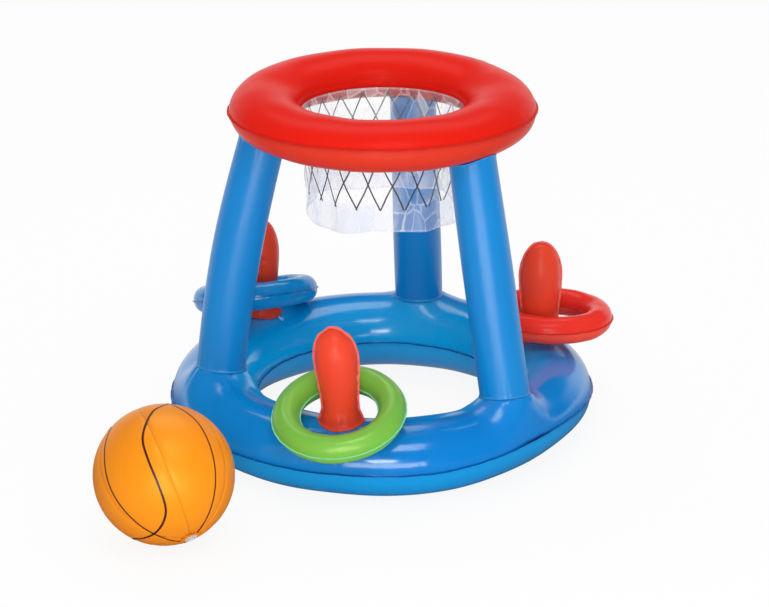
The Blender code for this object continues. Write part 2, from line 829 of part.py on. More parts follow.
def make_toss_ring(place, parent, material, clear):
    """A tossed ring of two sheets with its own valve, on the empty that lifts it."""
    carrier = make_empty(place.name + "_lift", parent, toss_frame(place))
    upper = make_ring_sheet(place.name + "_upper_sheet", TOSS, 1, TOSS_SEGMENTS, TOSS_ARC_STEPS,
                            carrier, material)
    make_ring_sheet(place.name + "_lower_sheet", TOSS, -1, TOSS_SEGMENTS, TOSS_ARC_STEPS,
                    carrier, material)
    frame = tube_valve_frame(TOSS, place.valve_turn, TOSS_VALVE_LIFT)
    hole = make_valve(place.name, SMALL_VALVE, TOSS, frame, carrier, clear, clear)
    combine(upper, hole, "DIFFERENCE")


# Assembly

def make_base(parent, material, clear):
    """The base ring with its air holes and its valve."""
    carrier = make_empty("base_middle", parent, Matrix.Translation((0, 0, BASE_MID_HEIGHT)))
    upper = make_ring_sheet("base_upper_sheet", BASE, 1, BASE_SEGMENTS, BASE_ARC_STEPS,
                            carrier, material)
    make_ring_sheet("base_lower_sheet", BASE, -1, BASE_SEGMENTS, BASE_FLOOR_ARC_STEPS,
                    carrier, material, BASE_FOOT_DEPTH)
    feet = [(leg.name, leg.foot_angle, leg.foot_radius) for leg in LEGS]
    feet += [(peg.name, peg.angle, peg.radius) for peg in PEGS]
    for name, angle, radius in feet:
        vertices, faces = cylinder_points(AIR_HOLE_RADIUS, 0.0, 2 * BASE_HALF_HEIGHT, CAP_SIDES)
        hole = make_object(name + "_air_hole", vertices, faces, carrier, None,
                           Matrix.Translation(polar(angle, radius)))
        combine(upper, hole, "DIFFERENCE")
    frame = tube_valve_frame(BASE, BASE_VALVE_TURN, BASE_VALVE_LIFT)
    combine(upper, make_valve("base", LARGE_VALVE, BASE, frame, carrier, clear, clear), "DIFFERENCE")


def make_hoop(parent, material, clear, film):
    """The hoop ring with its valve and its net sleeve."""
    carrier = make_empty("hoop_middle", parent, Matrix.Translation((0, 0, HOOP_CENTRE_HEIGHT)))
    upper = make_ring_sheet("hoop_upper_sheet", HOOP, 1, HOOP_SEGMENTS, HOOP_ARC_STEPS,
                            carrier, material)
    make_ring_sheet("hoop_lower_sheet", HOOP, -1, HOOP_SEGMENTS, HOOP_ARC_STEPS, carrier, material)
    frame = tube_valve_frame(HOOP, HOOP_VALVE_TURN, HOOP_VALVE_LIFT)
    combine(upper, make_valve("hoop", LARGE_VALVE, HOOP, frame, carrier, clear, clear), "DIFFERENCE")
    make_net_sleeve(parent, film)


def make_ball(parent, material, clear):
    """The ball of gores and two caps, standing on the floor beside the base on its own empty."""
    centre = polar(BALL_HEADING, BASE.outer_radius + BALL_STANDOFF + BALL_RADIUS, BALL_RADIUS)
    lean = Matrix.Rotation(BALL_AXIS_HEADING, 4, "Z") @ Matrix.Rotation(BALL_AXIS_TILT, 4, "Y")
    carrier = make_empty("ball_lift", parent, Matrix.Translation(centre) @ lean)
    for k in range(BALL_GORES):
        turn = 2 * math.pi * (k + 0.5) / BALL_GORES
        make_gore("ball_gore_%d" % (k + 1), turn, carrier, material)
    bpy.context.view_layer.update()
    lowest = min((gore.matrix_world @ v.co).z
                 for gore in carrier.children for v in gore.data.vertices)
    carrier.location.z -= lowest
    make_ball_cap("ball_top_cap", 1, carrier, material)
    bottom = make_ball_cap("ball_valve_cap", -1, carrier, material)
    wall = Sphere(BALL_RADIUS + GAP + SHEET)
    frame = wall_frame(Vector((0, 0, -wall.radius)), Vector((0, 0, -1)), Vector((1, 0, 0)))
    hole = make_valve("ball", SMALL_VALVE, wall, frame, carrier, clear, clear)
    combine(bottom, hole, "DIFFERENCE")


def centre_on_floor(root):
    """Move the whole set so that its origin lies under the middle of its bounds."""
    bpy.context.view_layer.update()
    graph = bpy.context.evaluated_depsgraph_get()
    corners = []
    for thing in bpy.data.objects:
        if thing.type == "MESH" and not thing.hide_render:
            shown = thing.evaluated_get(graph)
            corners += [shown.matrix_world @ v.co for v in shown.data.vertices]
    for axis in range(2):
        values = [corner[axis] for corner in corners]
        root.location[axis] = -(min(values) + max(values)) / 2
    bpy.context.view_layer.update()


def main():
    """Build the whole set."""
    clear_scene()
    blue = vinyl("blue_vinyl", BLUE)
    red = vinyl("red_vinyl", RED)
    green = vinyl("green_vinyl", GREEN)
    clear_blue = vinyl("clear_blue_vinyl", CLEAR_BLUE, alpha=0.6)
    orange = vinyl("orange_vinyl", ORANGE)
    clear = vinyl("clear_vinyl", CLEAR, alpha=0.5)
    film = vinyl("clear_film", CLEAR, alpha=0.3)
    root = make_empty("set_origin")
    make_base(root, blue, clear)
    make_hoop(root, red, clear, film)
    for station in LEGS:
        make_leg(station, root, blue)
    for station in PEGS:
        make_peg_panel(station, 1, station.name + "_far_panel", root, red)
        make_peg_panel(station, -1, station.name + "_near_panel", root, red)
    ring_materials = {GREEN: green, RED: red, CLEAR_BLUE: clear_blue}
    for place in TOSSED:
        make_toss_ring(place, root, ring_materials[place.colour], clear)
    make_ball(root, orange, clear)
    centre_on_floor(root)


main()
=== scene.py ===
"""Looks of the floating basketball hoop: welded vinyl sheets, clear net sleeve, ball and studio.

Metres, +Z up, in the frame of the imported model. Every sheet of vinyl is its own mesh, 0.3 mm
thick, with its seam flanges, and takes the place of the plainer solid of the same piece. The
valve seats and plugs keep their CAD meshes.
"""

import logging
import math
import random
from dataclasses import dataclass
from enum import Enum
from typing import Callable, Iterable, Optional, Sequence, Union

import bmesh
import bpy
import numpy as np
from mathutils import Matrix, Vector, noise


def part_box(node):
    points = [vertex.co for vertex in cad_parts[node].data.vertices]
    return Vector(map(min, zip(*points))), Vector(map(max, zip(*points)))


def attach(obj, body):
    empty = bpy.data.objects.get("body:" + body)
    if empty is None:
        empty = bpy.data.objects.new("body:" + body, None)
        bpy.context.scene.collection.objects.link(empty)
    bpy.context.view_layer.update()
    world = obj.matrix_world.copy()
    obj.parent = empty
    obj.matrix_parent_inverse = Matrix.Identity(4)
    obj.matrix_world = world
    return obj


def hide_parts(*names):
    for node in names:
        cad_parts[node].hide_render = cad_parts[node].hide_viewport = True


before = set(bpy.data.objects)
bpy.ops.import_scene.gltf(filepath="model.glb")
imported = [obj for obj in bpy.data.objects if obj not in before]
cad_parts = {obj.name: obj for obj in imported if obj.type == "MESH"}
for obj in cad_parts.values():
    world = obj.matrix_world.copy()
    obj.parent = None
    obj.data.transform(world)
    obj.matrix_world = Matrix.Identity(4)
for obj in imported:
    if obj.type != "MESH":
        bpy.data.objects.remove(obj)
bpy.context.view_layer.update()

LOG = logging.getLogger("pool_hoop")

# Walls and gaps are in metres, and the heading that the set is seen from is in degrees.
SHEET = 0.0003
GAP = 0.0003
SEAM_OFFSET = GAP / 2 + SHEET
WELD_GAP = 0.0004
WELD_OFFSET = WELD_GAP + SHEET
PRINT = 0.00012
TINY = 1e-6
HALVINGS = 36
FRONT = -75.0
VINYL_IOR = 1.5
INK_IOR = 1.48

Colour = tuple[float, float, float]
Scale = tuple[float, float, float]
Range = tuple[float, float]
Paint = Union[Colour, bpy.types.NodeSocket]
Test = Callable[[Vector], bool]
Direction = Callable[[Vector], Vector]


class Body(Enum):
    """Bodies that the pieces ride on."""

    FLOAT = "float"
    GREEN_RING = "green_ring"
    RED_RING = "red_ring"
    BLUE_RING = "blue_ring"
    BALL = "ball"


class Slot(Enum):
    """Material slots."""

    BLUE = "blue_vinyl"
    RED = "red_vinyl"
    GREEN = "green_vinyl"
    CLEAR_BLUE = "clear_blue_vinyl"
    ORANGE = "orange_vinyl"
    CLEAR = "clear_vinyl"
    FILM = "clear_film"


class Part(Enum):
    """What a selection in edit mode picks."""

    POINTS = "VERT"
    EDGES = "EDGE"


class Side(Enum):
    """The two sheets of a ring, by the sign of their height."""

    UPPER = 1
    LOWER = -1


class Panel(Enum):
    """The two panels of a peg, by the side of its seam line that they bulge to."""

    FAR = 1
    NEAR = -1


class Pole(Enum):
    """The two ends of the ball's gores, by their side of its middle."""

    TOP = 1
    VALVE = -1


# Shader maths

class Signal:
    """A shader socket that takes part in sums, products and powers."""

    def __init__(self, graph: "Graph", socket: bpy.types.NodeSocket) -> None:
        """Wrap a socket of a graph."""
        self.graph = graph
        self.socket = socket

    def maths(self, operation: str, first: "Signal | float", second: "Signal | float") -> "Signal":
        """Add a Math node and return its value."""
        made = self.graph.node("ShaderNodeMath", {"operation": operation}, {0: first, 1: second})
        return Signal(self.graph, made.outputs[0])

    def __add__(self, other: "Signal | float") -> "Signal":
        """Sum."""
        return self.maths("ADD", self, other)

    def __radd__(self, other: float) -> "Signal":
        """Sum with a number first."""
        return self.maths("ADD", other, self)

    def __sub__(self, other: "Signal | float") -> "Signal":
        """Difference."""
        return self.maths("SUBTRACT", self, other)

    def __rsub__(self, other: float) -> "Signal":
        """Difference with a number first."""
        return self.maths("SUBTRACT", other, self)

    def __mul__(self, other: "Signal | float") -> "Signal":
        """Product."""
        return self.maths("MULTIPLY", self, other)

    def __rmul__(self, other: float) -> "Signal":
        """Product with a number first."""
        return self.maths("MULTIPLY", other, self)

    def __pow__(self, other: "Signal | float") -> "Signal":
        """Power."""
        return self.maths("POWER", self, other)

    def sine(self) -> "Signal":
        """Sine of the value."""
        return self.maths("SINE", self, 0.0)

    def most(self, other: "Signal | float") -> "Signal":
        """The larger of two values."""
        return self.maths("MAXIMUM", self, other)

    def least(self, other: "Signal | float") -> "Signal":
        """The smaller of two values."""
        return self.maths("MINIMUM", self, other)


class Graph:
    """Node tree of one material or world, with its shader and output."""

    def __init__(self, tree: bpy.types.NodeTree) -> None:
        """Empty a node tree and start on it."""
        self.tree = tree
        tree.nodes.clear()

    def node(self, kind: str, settings: Optional[dict] = None,
             inputs: Optional[dict] = None) -> bpy.types.Node:
        """Add a node.

        Args:
            kind: The node's type.
            settings: Its properties, set before its sockets.
            inputs: Values, Signals or sockets for its inputs, by name or number.

        Returns:
            The new node.
        """
        made = self.tree.nodes.new(kind)
        for name, value in (settings or {}).items():
            setattr(made, name, value)
        for name, value in (inputs or {}).items():
            if isinstance(value, Signal):
                self.tree.links.new(value.socket, made.inputs[name])
            elif isinstance(value, bpy.types.NodeSocket):
                self.tree.links.new(value, made.inputs[name])
            else:
                made.inputs[name].default_value = value
        return made

    def coordinates(self) -> bpy.types.NodeSocket:
        """Object coordinates."""
        return self.node("ShaderNodeTexCoord").outputs["Object"]

    def attribute(self, name: str) -> Signal:
        """Value of a mesh attribute."""
        made = self.node("ShaderNodeAttribute", {"attribute_name": name})
        return Signal(self, made.outputs["Fac"])

    def noise(self, scale: float, detail: float = 2.0, roughness: float = 0.5) -> Signal:
        """Noise on object coordinates, with a scale in cells to the metre."""
        made = self.node("ShaderNodeTexNoise", {"noise_dimensions": "3D"},
                         {"Vector": self.coordinates(), "Scale": scale, "Detail": detail,
                          "Roughness": roughness})
        return Signal(self, made.outputs["Fac"])

    def ramp(self, value: Signal, low: float, high: float, start: float = 0.0, end: float = 1.0) -> Signal:
        """Clamped change of range from low..high to start..end."""
        made = self.node("ShaderNodeMapRange", {"clamp": True},
                         {"Value": value, "From Min": low, "From Max": high, "To Min": start, "To Max": end})
        return Signal(self, made.outputs["Result"])

    def mix(self, share: Signal, first: Paint, second: Paint) -> bpy.types.NodeSocket:
        """Colour between two colours or colour sockets."""
        made = self.node("ShaderNodeMix", {"data_type": "RGBA"},
                         {0: share, 6: rgba(first), 7: rgba(second)})
        return made.outputs[2]

    def bump(self, height: Signal, depth: float) -> bpy.types.NodeSocket:
        """Normal of a surface with a relief of some depth in metres."""
        made = self.node("ShaderNodeBump", None, {"Height": height, "Strength": 1.0, "Distance": depth})
        return made.outputs["Normal"]


def new_graph(name: str) -> tuple[bpy.types.Material, Graph]:
    """Start a material.

    Args:
        name: The material's name.

    Returns:
        The material and its graph.
    """
    material = bpy.data.materials.new(name)
    material.use_nodes = True
    return material, Graph(material.node_tree)


def rgba(colour: Paint) -> Union[tuple[float, float, float, float], bpy.types.NodeSocket]:
    """Colour with full opacity, or a colour socket as it is."""
    return colour if isinstance(colour, bpy.types.NodeSocket) else (*colour, 1.0)


# Finishes

@dataclass(frozen=True)
class Finish:
    """A finish on the Principled shader."""

    name: str

    def values(self, graph: Graph) -> dict:
        """Values and links of the shader's sockets, which each finish gives."""
        raise NotImplementedError

    def material(self) -> bpy.types.Material:
        """Build the finish.

        Returns:
            The material.
        """
        material, graph = new_graph(self.name)
        shader = graph.node("ShaderNodeBsdfPrincipled", None, self.values(graph))
        graph.node("ShaderNodeOutputMaterial", None, {"Surface": shader.outputs[0]})
        return material


@dataclass(frozen=True)
class VinylFinish(Finish):
    """Glossy coloured vinyl sheet, welded along its seams. Scales are in cells to the metre.

    The attribute "weld" is 1 on the heat-sealed flanges, "run" follows a seam in metres, "under"
    is 1 on a ring's lower sheet, "inner" rises to 1 at a ring's hole, and "stretch" rises to 1 on
    the collars that the legs pull up. The colour "under" is painted light, the floor's bounce on
    a ring's lower sheet, and "inner", by "glow", is a painted glow on the walls towards the hole.
    """

    colour: Colour
    shade: Colour
    weld: Colour
    # Painted light: colour of a ring's lower sheet as the floor lights it from below.
    under: Colour
    roughness: float
    level: float
    alpha: float = 1.0
    weld_alpha: float = 1.0
    cloud: float = 0.5
    drape: float = 0.8
    tint: Colour = (1.0, 1.0, 1.0)
    # Painted light: brighter colour towards a ring's hole, mixed in by glow.
    inner: Colour = (0.0, 0.48, 0.95)
    glow: float = 0.0
    cloud_scale: float = 4.5
    cloud_range: Range = (0.30, 0.72)
    haze_scale: float = 55.0
    haze_range: Range = (0.2, 0.8)
    haze_below: float = 0.035
    haze_above: float = 0.05
    drape_scale: float = 38.0
    grain_scale: float = 900.0
    grain: float = 0.05
    seal: float = 0.25
    seal_turn: float = 2400.0
    relief: float = 0.00022
    weld_haze: float = 0.10
    stretch_haze: float = 0.06

    def values(self, graph: Graph) -> dict:
        """Cloudy colour with darker welds, a slight haze, and the seal's ribs in relief.

        Args:
            graph: The material's graph.

        Returns:
            Values and links of the shader's sockets.
        """
        weld = graph.attribute("weld")
        cloud = graph.ramp(graph.noise(self.cloud_scale), *self.cloud_range)
        body = graph.mix(cloud * self.cloud, self.colour, self.shade)
        # Painted light: the lower sheet takes the colour of the floor's bounce light.
        lit = graph.mix(graph.attribute("under"), body, self.under)
        # Painted light: a brighter glow on the walls towards the hole.
        if self.glow:
            lit = graph.mix(graph.attribute("inner") * self.glow, lit, self.inner)
        haze = graph.ramp(graph.noise(self.haze_scale, 3.0, 0.6), *self.haze_range,
                          self.roughness - self.haze_below, self.roughness + self.haze_above)
        ribs = (graph.attribute("run") * self.seal_turn).sine() * weld
        drape = graph.noise(self.drape_scale, 2.0, 0.45)
        relief = ribs * self.seal + graph.noise(self.grain_scale) * self.grain + drape * self.drape
        values = {
            "Base Color": graph.mix(weld, lit, self.weld),
            "Roughness": haze + weld * self.weld_haze + graph.attribute("stretch") * self.stretch_haze,
            "Normal": graph.bump(relief, self.relief),
            "Specular IOR Level": self.level,
            "Specular Tint": rgba(self.tint),
            "IOR": VINYL_IOR,
        }
        if self.alpha < 1.0:
            values["Alpha"] = graph.ramp(weld, 0.0, 1.0, self.alpha, self.weld_alpha)
        return values


@dataclass(frozen=True)
class FilmFinish(Finish):
    """Thin clear film with flat facets; whiter facets, edges and creases are painted reflections.

    The attributes "crease", "weld" and "hem" are 1 on sharp folds, on the welds and near the
    lower edge. The shares ending in "sheen" say how much painted reflection the facets, their
    edges and the creases take; weld_milk and hem_milk say how milky the welds and the hem are.
    """

    colour: Colour = (0.97, 0.98, 1.0)
    hem: Colour = (0.78, 0.84, 1.0)
    roughness: Range = (0.12, 0.26)
    level: float = 0.4
    clear_alpha: float = 0.05
    crease_alpha: float = 0.62
    facet_size: float = 0.026
    facet_scale: Scale = (1.0, 1.0, 0.55)
    bend_scale: float = 30.0
    bend: float = 0.016
    line_width: float = 0.05
    # Shares of painted reflection on facets, facet edges and creases, then how milky the welds and the hem
    # are.
    facet_sheen: float = 0.36
    line_sheen: float = 0.30
    crease_sheen: float = 0.20
    weld_milk: float = 0.20
    hem_milk: float = 0.16
    facet_contrast: float = 3.0
    relief: float = 0.0008
    relief_top: float = 0.25

    def values(self, graph: Graph) -> dict:
        """Facets with bent edges, with painted reflections on facets, edges and creases.

        Args:
            graph: The material's graph.

        Returns:
            Values and links of the shader's sockets.
        """
        bend = graph.node("ShaderNodeTexNoise", {"noise_dimensions": "3D"},
                          {"Vector": graph.coordinates(), "Scale": self.bend_scale, "Detail": 2.0})
        bent = graph.node("ShaderNodeVectorMath", {"operation": "MULTIPLY_ADD"},
                          {0: bend.outputs["Color"], 1: (self.bend,) * 3, 2: graph.coordinates()})
        place = graph.node("ShaderNodeMapping", {"vector_type": "POINT"},
                           {"Vector": bent.outputs[0], "Scale": self.facet_scale})
        cells = {"Vector": place.outputs["Vector"], "Scale": 1.0 / self.facet_size}
        border = graph.node("ShaderNodeTexVoronoi", {"feature": "DISTANCE_TO_EDGE"}, cells)
        pane = graph.node("ShaderNodeTexVoronoi", {"feature": "F1"}, cells)
        tone = graph.node("ShaderNodeSeparateColor", None, {"Color": pane.outputs["Color"]})
        edge = Signal(graph, border.outputs["Distance"])
        line = graph.ramp(edge, 0.0, self.line_width, 1.0, 0.0)
        facet = Signal(graph, tone.outputs[0]) ** self.facet_contrast
        hem = graph.attribute("hem")
        # Painted reflection: facets, facet edges and creases are made whiter and more opaque; the welds and
        # the hem are milky film.
        milk_and_sheen = (facet * self.facet_sheen + line * self.line_sheen
                + graph.attribute("crease") * self.crease_sheen
                + graph.attribute("weld") * self.weld_milk + hem * self.hem_milk)
        return {
            "Base Color": graph.mix(hem * (1 - line), self.colour, self.hem),
            "Roughness": graph.ramp(facet, 0.0, 1.0, *self.roughness),
            "Alpha": graph.ramp(milk_and_sheen, 0.0, 1.0, self.clear_alpha, self.crease_alpha),
            "Normal": graph.bump(edge.least(self.relief_top), self.relief),
            "Specular IOR Level": self.level,
            "IOR": VINYL_IOR,
        }


@dataclass(frozen=True)
class InkFinish(Finish):
    """Printed line, slightly uneven."""

    colour: Colour
    faded: Colour
    roughness: float = 0.35
    wear_scale: float = 240.0
    wear_range: Range = (0.35, 0.75)
    wear_haze: float = 0.1

    def values(self, graph: Graph) -> dict:
        """Worn spots, paler and rougher.

        Args:
            graph: The material's graph.

        Returns:
            Values and links of the shader's sockets.
        """
        wear = graph.ramp(graph.noise(self.wear_scale, 3.0, 0.6), *self.wear_range)
        return {
            "Base Color": graph.mix(wear, self.colour, self.faded),
            "Roughness": graph.ramp(wear, 0.0, 1.0, self.roughness, self.roughness + self.wear_haze),
            "IOR": INK_IOR,
        }


@dataclass(frozen=True)
class MouldedFinish(Finish):
    """Soft clear moulded vinyl of the valves."""

    colour: Colour = (0.80, 0.86, 0.90)
    pale: Colour = (0.92, 0.95, 0.97)
    roughness: Range = (0.18, 0.30)
    alpha: float = 0.45
    alpha_spread: float = 0.12
    cloud_scale: float = 180.0
    cloud_range: Range = (0.3, 0.7)
    grain_scale: float = 700.0
    relief: float = 0.00005

    def values(self, graph: Graph) -> dict:
        """Slightly clouded, with a fine grain.

        Args:
            graph: The material's graph.

        Returns:
            Values and links of the shader's sockets.
        """
        cloud = graph.ramp(graph.noise(self.cloud_scale, 3.0, 0.55), *self.cloud_range)
        return {
            "Base Color": graph.mix(cloud, self.colour, self.pale),
            "Roughness": graph.ramp(cloud, 0.0, 1.0, *self.roughness),
            "Alpha": graph.ramp(cloud, 0.0, 1.0, self.alpha, self.alpha + self.alpha_spread),
            "Normal": graph.bump(graph.noise(self.grain_scale), self.relief),
            "IOR": VINYL_IOR,
        }


class Finishes:
    """Every finish of the set, made once."""

    def __init__(self) -> None:
        """Build the materials."""
        # In the vinyls, "under" is painted light from the floor on a ring's lower sheet, and the base's
        # "inner" colour, by glow, is a painted glow towards its hole.
        self.base = VinylFinish(
            "base_blue", colour=(0.000, 0.245, 0.650), shade=(0.000, 0.165, 0.550),
            weld=(0.000, 0.095, 0.370), under=(0.002, 0.290, 0.680),
            roughness=0.15, level=0.70, cloud=0.8, glow=0.80).material()
        self.leg = VinylFinish(
            "leg_blue", colour=(0.000, 0.225, 0.600), shade=(0.000, 0.195, 0.560),
            weld=(0.020, 0.260, 0.660), under=(0.000, 0.225, 0.600),
            roughness=0.32, level=0.5).material()
        self.red = VinylFinish(
            "hoop_red", colour=(0.730, 0.013, 0.005), shade=(0.700, 0.009, 0.004),
            weld=(0.620, 0.022, 0.016), under=(0.640, 0.036, 0.018),
            roughness=0.32, level=0.07).material()
        self.ring_red = VinylFinish(
            "ring_red", colour=(0.800, 0.035, 0.022), shade=(0.770, 0.028, 0.020),
            weld=(0.680, 0.030, 0.020), under=(0.860, 0.075, 0.045),
            roughness=0.22, level=0.15).material()
        self.peg = VinylFinish(
            "peg_red", colour=(0.770, 0.060, 0.024), shade=(0.750, 0.048, 0.021),
            weld=(0.820, 0.150, 0.120), under=(0.750, 0.056, 0.022),
            roughness=0.32, level=0.20).material()
        self.green = VinylFinish(
            "ring_green", colour=(0.180, 0.490, 0.060), shade=(0.160, 0.460, 0.050),
            weld=(0.230, 0.800, 0.420), under=(0.190, 0.500, 0.070),
            roughness=0.32, level=0.9, drape=0.4, tint=(0.95, 1.0, 0.50)).material()
        self.clear_blue = VinylFinish(
            "ring_clear_blue", colour=(0.000, 0.310, 0.740), shade=(0.000, 0.270, 0.680),
            weld=(0.000, 0.170, 0.500), under=(0.000, 0.330, 0.780),
            roughness=0.12, level=0.7, alpha=0.74, weld_alpha=0.90).material()
        self.orange = VinylFinish(
            "ball_orange", colour=(0.850, 0.255, 0.004), shade=(0.830, 0.215, 0.004),
            weld=(0.620, 0.160, 0.012), under=(0.850, 0.255, 0.004),
            roughness=0.42, level=1.0, drape=0.3, tint=(1.0, 0.80, 0.20)).material()
        self.clear = MouldedFinish("clear_moulded").material()
        self.film = FilmFinish("net_film").material()
        self.net_ink = InkFinish("net_ink", (0.045, 0.045, 0.055), (0.080, 0.080, 0.090)).material()
        self.ball_ink = InkFinish("ball_ink", (0.045, 0.006, 0.006), (0.080, 0.012, 0.008)).material()


# Modelling

class Bench:
    """Modelling steps, made on one mesh object at a time."""

    @staticmethod
    def only(thing: bpy.types.Object) -> None:
        """Make one object the whole selection.

        Args:
            thing: The object.
        """
        bpy.ops.object.select_all(action="DESELECT")
        thing.select_set(True)
        bpy.context.view_layer.objects.active = thing

    @staticmethod
    def added(name: str) -> bpy.types.Object:
        """Name what was just added.

        Args:
            name: Its name.

        Returns:
            The object.
        """
        thing = bpy.context.active_object
        thing.name = name
        thing.data.name = name
        return thing

    @staticmethod
    def enter(thing: bpy.types.Object) -> None:
        """Start editing with nothing selected.

        Args:
            thing: The object.
        """
        Bench.only(thing)
        bpy.ops.object.mode_set(mode="EDIT")
        bpy.ops.mesh.select_mode(type=Part.POINTS.value)
        bpy.ops.mesh.select_all(action="DESELECT")

    @staticmethod
    def leave() -> None:
        """Stop editing."""
        bpy.ops.object.mode_set(mode="OBJECT")

    @staticmethod
    def pick(thing: bpy.types.Object, part: Part, test: Test) -> None:
        """Select points or edges in edit mode.

        Args:
            thing: The object.
            part: What is selected.
            test: Says whether an element is selected, by its middle.
        """
        bpy.ops.mesh.select_mode(type=part.value)
        bpy.ops.mesh.select_all(action="DESELECT")
        mesh = bmesh.from_edit_mesh(thing.data)
        if part is Part.POINTS:
            for point in mesh.verts:
                point.select_set(test(point.co))
        else:
            for edge in mesh.edges:
                edge.select_set(test((edge.verts[0].co + edge.verts[1].co) / 2))
        mesh.select_flush_mode()
        bmesh.update_edit_mesh(thing.data)

    @staticmethod
    def cut(thing: bpy.types.Object, cuts: int, test: Test) -> None:
        """Cut the edges whose middle passes a test, in edit mode."""
        Bench.pick(thing, Part.EDGES, test)
        bpy.ops.mesh.subdivide(number_cuts=cuts)

    @staticmethod
    def strip(name: str, steps: int) -> bpy.types.Object:
        """Add a flat strip, from -1 to 1 in X and in Y.

        Args:
            name: Its name.
            steps: Its cells along Y.

        Returns:
            The strip.
        """
        bpy.ops.mesh.primitive_plane_add(size=2.0)
        strip = Bench.added(name)
        Bench.enter(strip)
        Bench.cut(strip, steps - 1, lambda co: abs(co.y) < 0.5)
        Bench.leave()
        return strip

    @staticmethod
    def grid(name: str, columns: int, rows: int) -> bpy.types.Object:
        """Add a flat grid of cells, from -1 to 1 in X and in Y."""
        bpy.ops.mesh.primitive_grid_add(x_subdivisions=columns, y_subdivisions=rows, size=2.0)
        return Bench.added(name)

    @staticmethod
    def apply_place(thing: bpy.types.Object, place: Optional[Matrix] = None) -> None:
        """Put an object's place into its mesh.

        Args:
            thing: The object.
            place: A place that it is given first.
        """
        if place is not None:
            thing.matrix_world = place
        Bench.only(thing)
        bpy.ops.object.transform_apply(location=True, rotation=True, scale=True)

    @staticmethod
    def points(thing: bpy.types.Object) -> np.ndarray:
        """Read the points of a mesh.

        Args:
            thing: The object.

        Returns:
            The points, one row each.
        """
        flat = np.empty(len(thing.data.vertices) * 3)
        thing.data.vertices.foreach_get("co", flat)
        return flat.reshape(-1, 3)

    @staticmethod
    def move(thing: bpy.types.Object, points: np.ndarray) -> None:
        """Put a mesh's points at new places."""
        thing.data.vertices.foreach_set("co", points.astype(np.float32).ravel())
        thing.data.update()

    @staticmethod
    def paint(thing: bpy.types.Object, **values: np.ndarray) -> None:
        """Store attributes, with a value for each point.

        Args:
            thing: The object.
            **values: The values of each attribute, by its name.
        """
        for name, value in values.items():
            layer = thing.data.attributes.new(name, "FLOAT", "POINT")
            layer.data.foreach_set("value", np.ascontiguousarray(value, dtype=np.float32))

    @staticmethod
    def face_outwards(thing: bpy.types.Object, outwards: Direction) -> None:
        """Merge doubles and turn an open sheet's faces to one side.

        Args:
            thing: The sheet.
            outwards: The direction that a face at a place should turn to.
        """
        Bench.enter(thing)
        bpy.ops.mesh.select_all(action="SELECT")
        bpy.ops.mesh.remove_doubles(threshold=TINY)
        bpy.ops.mesh.normals_make_consistent(inside=False)
        mesh = bmesh.from_edit_mesh(thing.data)
        right = sum(1 if f.normal.dot(outwards(f.calc_center_median())) > 0 else -1 for f in mesh.faces)
        if right < 0:
            bpy.ops.mesh.flip_normals()
        Bench.leave()

    @staticmethod
    def thicken(thing: bpy.types.Object, thickness: float = SHEET, offset: float = -1.0) -> None:
        """Give an open sheet its wall.

        Args:
            thing: The sheet.
            thickness: The wall.
            offset: -1 for a wall behind the faces, 0 for one on both sides.
        """
        Bench.only(thing)
        bpy.ops.object.modifier_add(type="SOLIDIFY")
        wall = thing.modifiers[-1]
        wall.thickness = thickness
        wall.offset = offset
        bpy.ops.object.modifier_apply(modifier=wall.name)

    @staticmethod
    def smooth(thing: bpy.types.Object, degrees: float = 48.0) -> None:
        """Shade smooth, with creases where faces meet at more than an angle."""
        Bench.only(thing)
        bpy.ops.object.shade_smooth_by_angle(angle=math.radians(degrees))

    @staticmethod
    def wall(thing: bpy.types.Object, outwards: Direction, thickness: float = SHEET,
             degrees: float = 48.0) -> None:
        """Turn a shaped sheet's faces outwards, thicken it and shade it.

        Args:
            thing: The sheet.
            outwards: The direction that a face at a place should turn to.
            thickness: Its wall.
            degrees: The angle past which an edge stays sharp.
        """
        Bench.face_outwards(thing, outwards)
        Bench.thicken(thing, thickness)
        Bench.smooth(thing, degrees)

    @staticmethod
    def printed(things: Sequence[bpy.types.Object], name: str, place: Matrix) -> bpy.types.Object:
        """Join printed shapes into one thin layer.

        Args:
            things: The shapes.
            name: The layer's name.
            place: Its place.

        Returns:
            The layer.
        """
        bpy.ops.object.select_all(action="DESELECT")
        for thing in things:
            thing.select_set(True)
        bpy.context.view_layer.objects.active = things[0]
        bpy.ops.object.join()
        layer = Bench.added(name)
        Bench.thicken(layer, PRINT, 0.0)
        Bench.smooth(layer)
        Bench.apply_place(layer, place)
        return layer

    @staticmethod
    def dress(thing: bpy.types.Object, material: bpy.types.Material, slot: Slot, body: Body,
              nodes: Iterable[str] = ()) -> None:
        """Finish a piece.

        Args:
            thing: The piece.
            material: Its finish.
            slot: Its material slot; not used.
            body: The body that it rides on.
            nodes: The nodes that it stands for.
        """
        thing.data.materials.clear()
        thing.data.materials.append(material)
        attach(thing, body.value)
        if nodes:
            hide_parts(*nodes)
        LOG.info("%s: %d points on %s", thing.name, len(thing.data.vertices), body.value)


def solve(measure: Callable[[float], float], low: float, high: float) -> float:
    """Find where a rising measure passes zero, by halving.

    Args:
        measure: The measure.
        low: Start of the range.
        high: End of the range.

    Returns:
        The place where it passes zero.
    """
    for _ in range(HALVINGS):
        middle = (low + high) / 2
        if measure(middle) > 0:
            high = middle
        else:
            low = middle
    return high


def polar(angle: float, radius: float, height: float = 0.0) -> Vector:
    """Point at an angle and radius about Z."""
    return Vector((radius * math.cos(angle), radius * math.sin(angle), height))


def ease(share: Union[float, np.ndarray]) -> Union[float, np.ndarray]:
    """Smooth step of a share from 0 to 1."""
    return share * share * (3 - 2 * share)


def blend(start: float, end: float, share: float) -> float:
    """Smooth step from start to end."""
    return start + (end - start) * ease(min(max(share, 0.0), 1.0))


